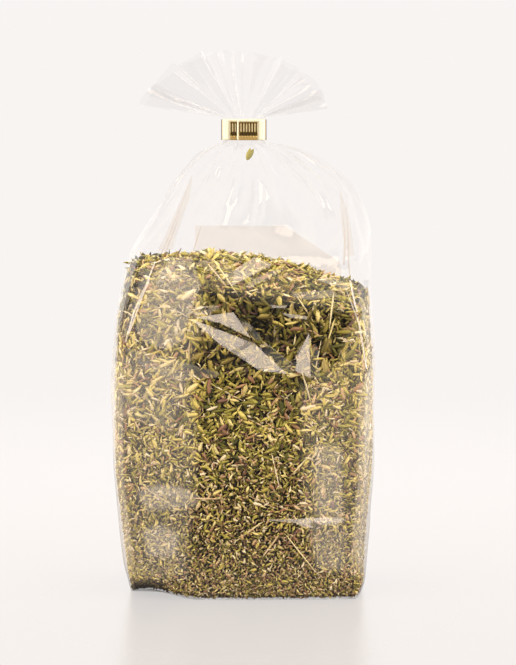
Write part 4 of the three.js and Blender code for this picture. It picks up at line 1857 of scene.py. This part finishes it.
@dataclass
class Studio:
    """Pale table, soft light all round with a dark gap at the front, and one strip light above the camera."""

    aim: tuple[float, float, float] = (5.2, 0.0, 103.0)
    elevation: float = math.radians(7)
    distance: float = 1000.0
    frame_height: float = 266.0
    sensor: float = 36.0
    floor_reach: float = 2.5
    floor_tint: str = "#504a46"
    floor_roughness: float = 0.25
    floor_gloss: float = 0.1
    floor_glow: float = 0.57
    floor_mirrored: float = 0.9
    floor_fade: Range = (0.06, 0.6)
    backdrop: tuple[tuple[float, str], ...] = ((0.0, "#f8f4f2"), (0.03, "#f9f5f5"))
    sky: str = "#fffcfa"
    sky_strength: float = 1.35
    gap_strength: float = 0.04
    gap_sides: Range = (math.radians(24), math.radians(32))
    gap_top: Range = (math.radians(25), math.radians(36))
    strip_elevation: float = math.radians(22.5)
    strip_distance: float = 1500.0
    strip_size: tuple[float, float] = (1.2, 0.24)
    strip_power: float = 3.6
    strip_tint: str = "#ffecd8"
    box_elevation: float = math.radians(18)
    box_distance: float = 2400.0
    box_size: tuple[float, float] = (3.0, 2.0)
    boxes: tuple[tuple[str, float, float], ...] = (
        ("left_light", math.radians(-62), 77.0),
        ("right_light", math.radians(62), 77.0),
        ("rear_left_light", math.radians(-118), 44.0),
        ("rear_right_light", math.radians(118), 44.0),
    )
    clear_layers: int = 32

    def hang(
        self, name: str, data: bpy.types.ID, azimuth: float, elevation: float, distance: float
    ) -> bpy.types.Object:
        """Hangs a camera or a light so that it faces the bag.

        Args:
            name: The object's name.
            data: The camera or the light.
            azimuth: Its way round from the front, to the right.
            elevation: Its way up.
            distance: Millimetres from the bag.

        Returns:
            The new object.
        """
        thing = add_object(name, data)
        level = math.cos(elevation)
        way = Vector((math.sin(azimuth) * level, -math.cos(azimuth) * level, math.sin(elevation)))
        thing.location = (Vector(self.aim) + way * distance) * MM
        thing.rotation_euler = (-way).to_track_quat("-Z", "Y").to_euler()
        return thing

    def camera(self) -> None:
        """Sets the camera at the photo's angle, level with the bag's shoulder and a little above."""
        data = bpy.data.cameras.new("camera")
        data.sensor_width = self.sensor
        data.lens = self.sensor * self.distance / self.frame_height
        bpy.context.scene.camera = self.hang("camera", data, 0.0, self.elevation, self.distance)

    def floor(self) -> None:
        """Lays a wide pale table top that glows softly and fades into the backdrop far off."""
        form = bmesh.new()
        bmesh.ops.create_grid(form, x_segments=1, y_segments=1, size=self.floor_reach)
        mesh = mesh_of(form, "table_top")
        material, tree = new_material("white acrylic sheet")
        soft = {"interpolation_type": "SMOOTHSTEP"}
        near, far = self.floor_fade
        place = add_node(tree, "ShaderNodeTexCoord").outputs["Object"]
        away = add_node(tree, "ShaderNodeVectorMath", {"operation": "LENGTH"}, {0: place}).outputs["Value"]
        fade = add_node(tree, "ShaderNodeMapRange", soft, {"Value": away, "From Min": near, "From Max": far})
        _, back, _ = add_node(tree, "ShaderNodeSeparateXYZ", inputs={0: place}).outputs
        rear = {"Value": back, "From Max": far, "To Max": self.floor_mirrored}
        behind = add_node(tree, "ShaderNodeMapRange", soft, rear)
        sight = add_node(tree, "ShaderNodeLightPath")
        seen, glossy = sight.outputs["Is Camera Ray"], sight.outputs["Is Glossy Ray"]
        mirrored = add_node(
            tree, "ShaderNodeMath", {"operation": "MULTIPLY_ADD"}, {0: glossy, 1: behind, 2: seen}
        )
        times = {"operation": "MULTIPLY"}
        acrylic = {
            "Base Color": linear(self.floor_tint),
            "Roughness": self.floor_roughness,
            "Specular IOR Level": self.floor_gloss,
            "Emission Color": linear(self.sky),
            "Emission Strength": add_node(tree, "ShaderNodeMath", times, {0: mirrored, 1: self.floor_glow}),
        }
        top = add_node(tree, "ShaderNodeBsdfPrincipled", inputs=acrylic)
        beyond = add_node(tree, "ShaderNodeBsdfTransparent")
        faded = add_node(tree, "ShaderNodeMath", times, {0: seen, 1: fade})
        table = add_node(tree, "ShaderNodeMixShader", inputs={0: faded, 1: top, 2: beyond})
        add_node(tree, "ShaderNodeOutputMaterial", inputs={"Surface": table})
        mesh.materials.append(material)
        floor = add_object("table_top", mesh)

    def world(self) -> None:
        """Surrounds the bag with a pale room that is dark only behind the camera."""
        world = bpy.data.worlds.new("studio")
        bpy.context.scene.world = world
        world.use_nodes = True
        tree = world.node_tree
        tree.nodes.clear()
        way = add_node(tree, "ShaderNodeTexCoord").outputs["Generated"]
        right, back, up = add_node(tree, "ShaderNodeSeparateXYZ", inputs={0: way}).outputs
        towards = add_node(tree, "ShaderNodeMath", {"operation": "MULTIPLY"}, {0: back, 1: -1.0})
        azimuth = add_node(tree, "ShaderNodeMath", {"operation": "ARCTAN2"}, {0: right, 1: towards})
        sideways = add_node(tree, "ShaderNodeMath", {"operation": "ABSOLUTE"}, {0: azimuth})
        height = add_node(tree, "ShaderNodeMath", {"operation": "ARCSINE"}, {0: up})
        beside, above = [
            add_node(
                tree,
                "ShaderNodeMapRange",
                {"interpolation_type": "SMOOTHSTEP"},
                {"Value": angle, "From Min": start, "From Max": end},
            )
            for angle, (start, end) in ((sideways, self.gap_sides), (height, self.gap_top))
        ]
        lit = add_node(tree, "ShaderNodeMath", {"operation": "MAXIMUM"}, {0: beside, 1: above})
        light = {"Value": lit, "To Min": self.gap_strength, "To Max": self.sky_strength}
        strength = add_node(tree, "ShaderNodeMapRange", inputs=light)
        pale = {"Color": linear(self.sky), "Strength": strength}
        room = add_node(tree, "ShaderNodeBackground", inputs=pale)
        fade = add_node(tree, "ShaderNodeValToRGB", {"stops": self.backdrop}, {0: up})
        seen = add_node(tree, "ShaderNodeBackground", inputs={"Color": fade, "Strength": 1.0})
        sight = add_node(tree, "ShaderNodeLightPath").outputs["Is Camera Ray"]
        both = add_node(tree, "ShaderNodeMixShader", inputs={0: sight, 1: room, 2: seen})
        add_node(tree, "ShaderNodeOutputWorld", inputs={"Surface": both})

    def soft_box(
        self, name: str, size: tuple[float, float], power: float, tint: str
    ) -> bpy.types.AreaLight:
        """Makes a soft box.

        Args:
            name: The light's name.
            size: Metres across and up.
            power: Watts.
            tint: Its colour.

        Returns:
            The light, not yet hung.
        """
        light = bpy.data.lights.new(name, "AREA")
        light.shape = "RECTANGLE"
        light.size, light.size_y = size
        light.energy = power
        light.color = linear(tint)[:3]
        return light

    def lights(self) -> None:
        """Hangs a long strip above the camera, which tipped facets mirror, and two boxes at each side."""
        strip = self.soft_box("strip_light", self.strip_size, self.strip_power, self.strip_tint)
        lamp = self.hang("strip_light", strip, 0.0, self.strip_elevation, self.strip_distance)
        lamp.visible_camera = False
        for name, azimuth, power in self.boxes:
            box = self.soft_box(name, self.box_size, power, self.sky)
            lamp = self.hang(name, box, azimuth, self.box_elevation, self.box_distance)
            lamp.visible_camera = False
            lamp.visible_glossy = False

    def build(self) -> None:
        """Sets up the whole studio."""
        self.camera()
        self.floor()
        self.world()
        self.lights()
        scene = bpy.context.scene
        scene.view_settings.view_transform = "Standard"
        scene.cycles.transparent_max_bounces = self.clear_layers


def main() -> None:
    """Builds the bag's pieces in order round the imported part."""
    logging.basicConfig(level=logging.INFO, format="%(name)s: %(message)s")
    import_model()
    Studio().build()
    shape = BagShape()
    leaf = DriedLeaf()
    pressed = PressedZones()
    FilmBag(shape, pressed, ClearFilm()).build()
    ThymeHeap(shape, pressed, leaf, LeafFines()).build()
    StrayLeaf(shape, leaf).build()
    Clip(GoldStrip()).build()


if __name__ == "__main__":
    main()
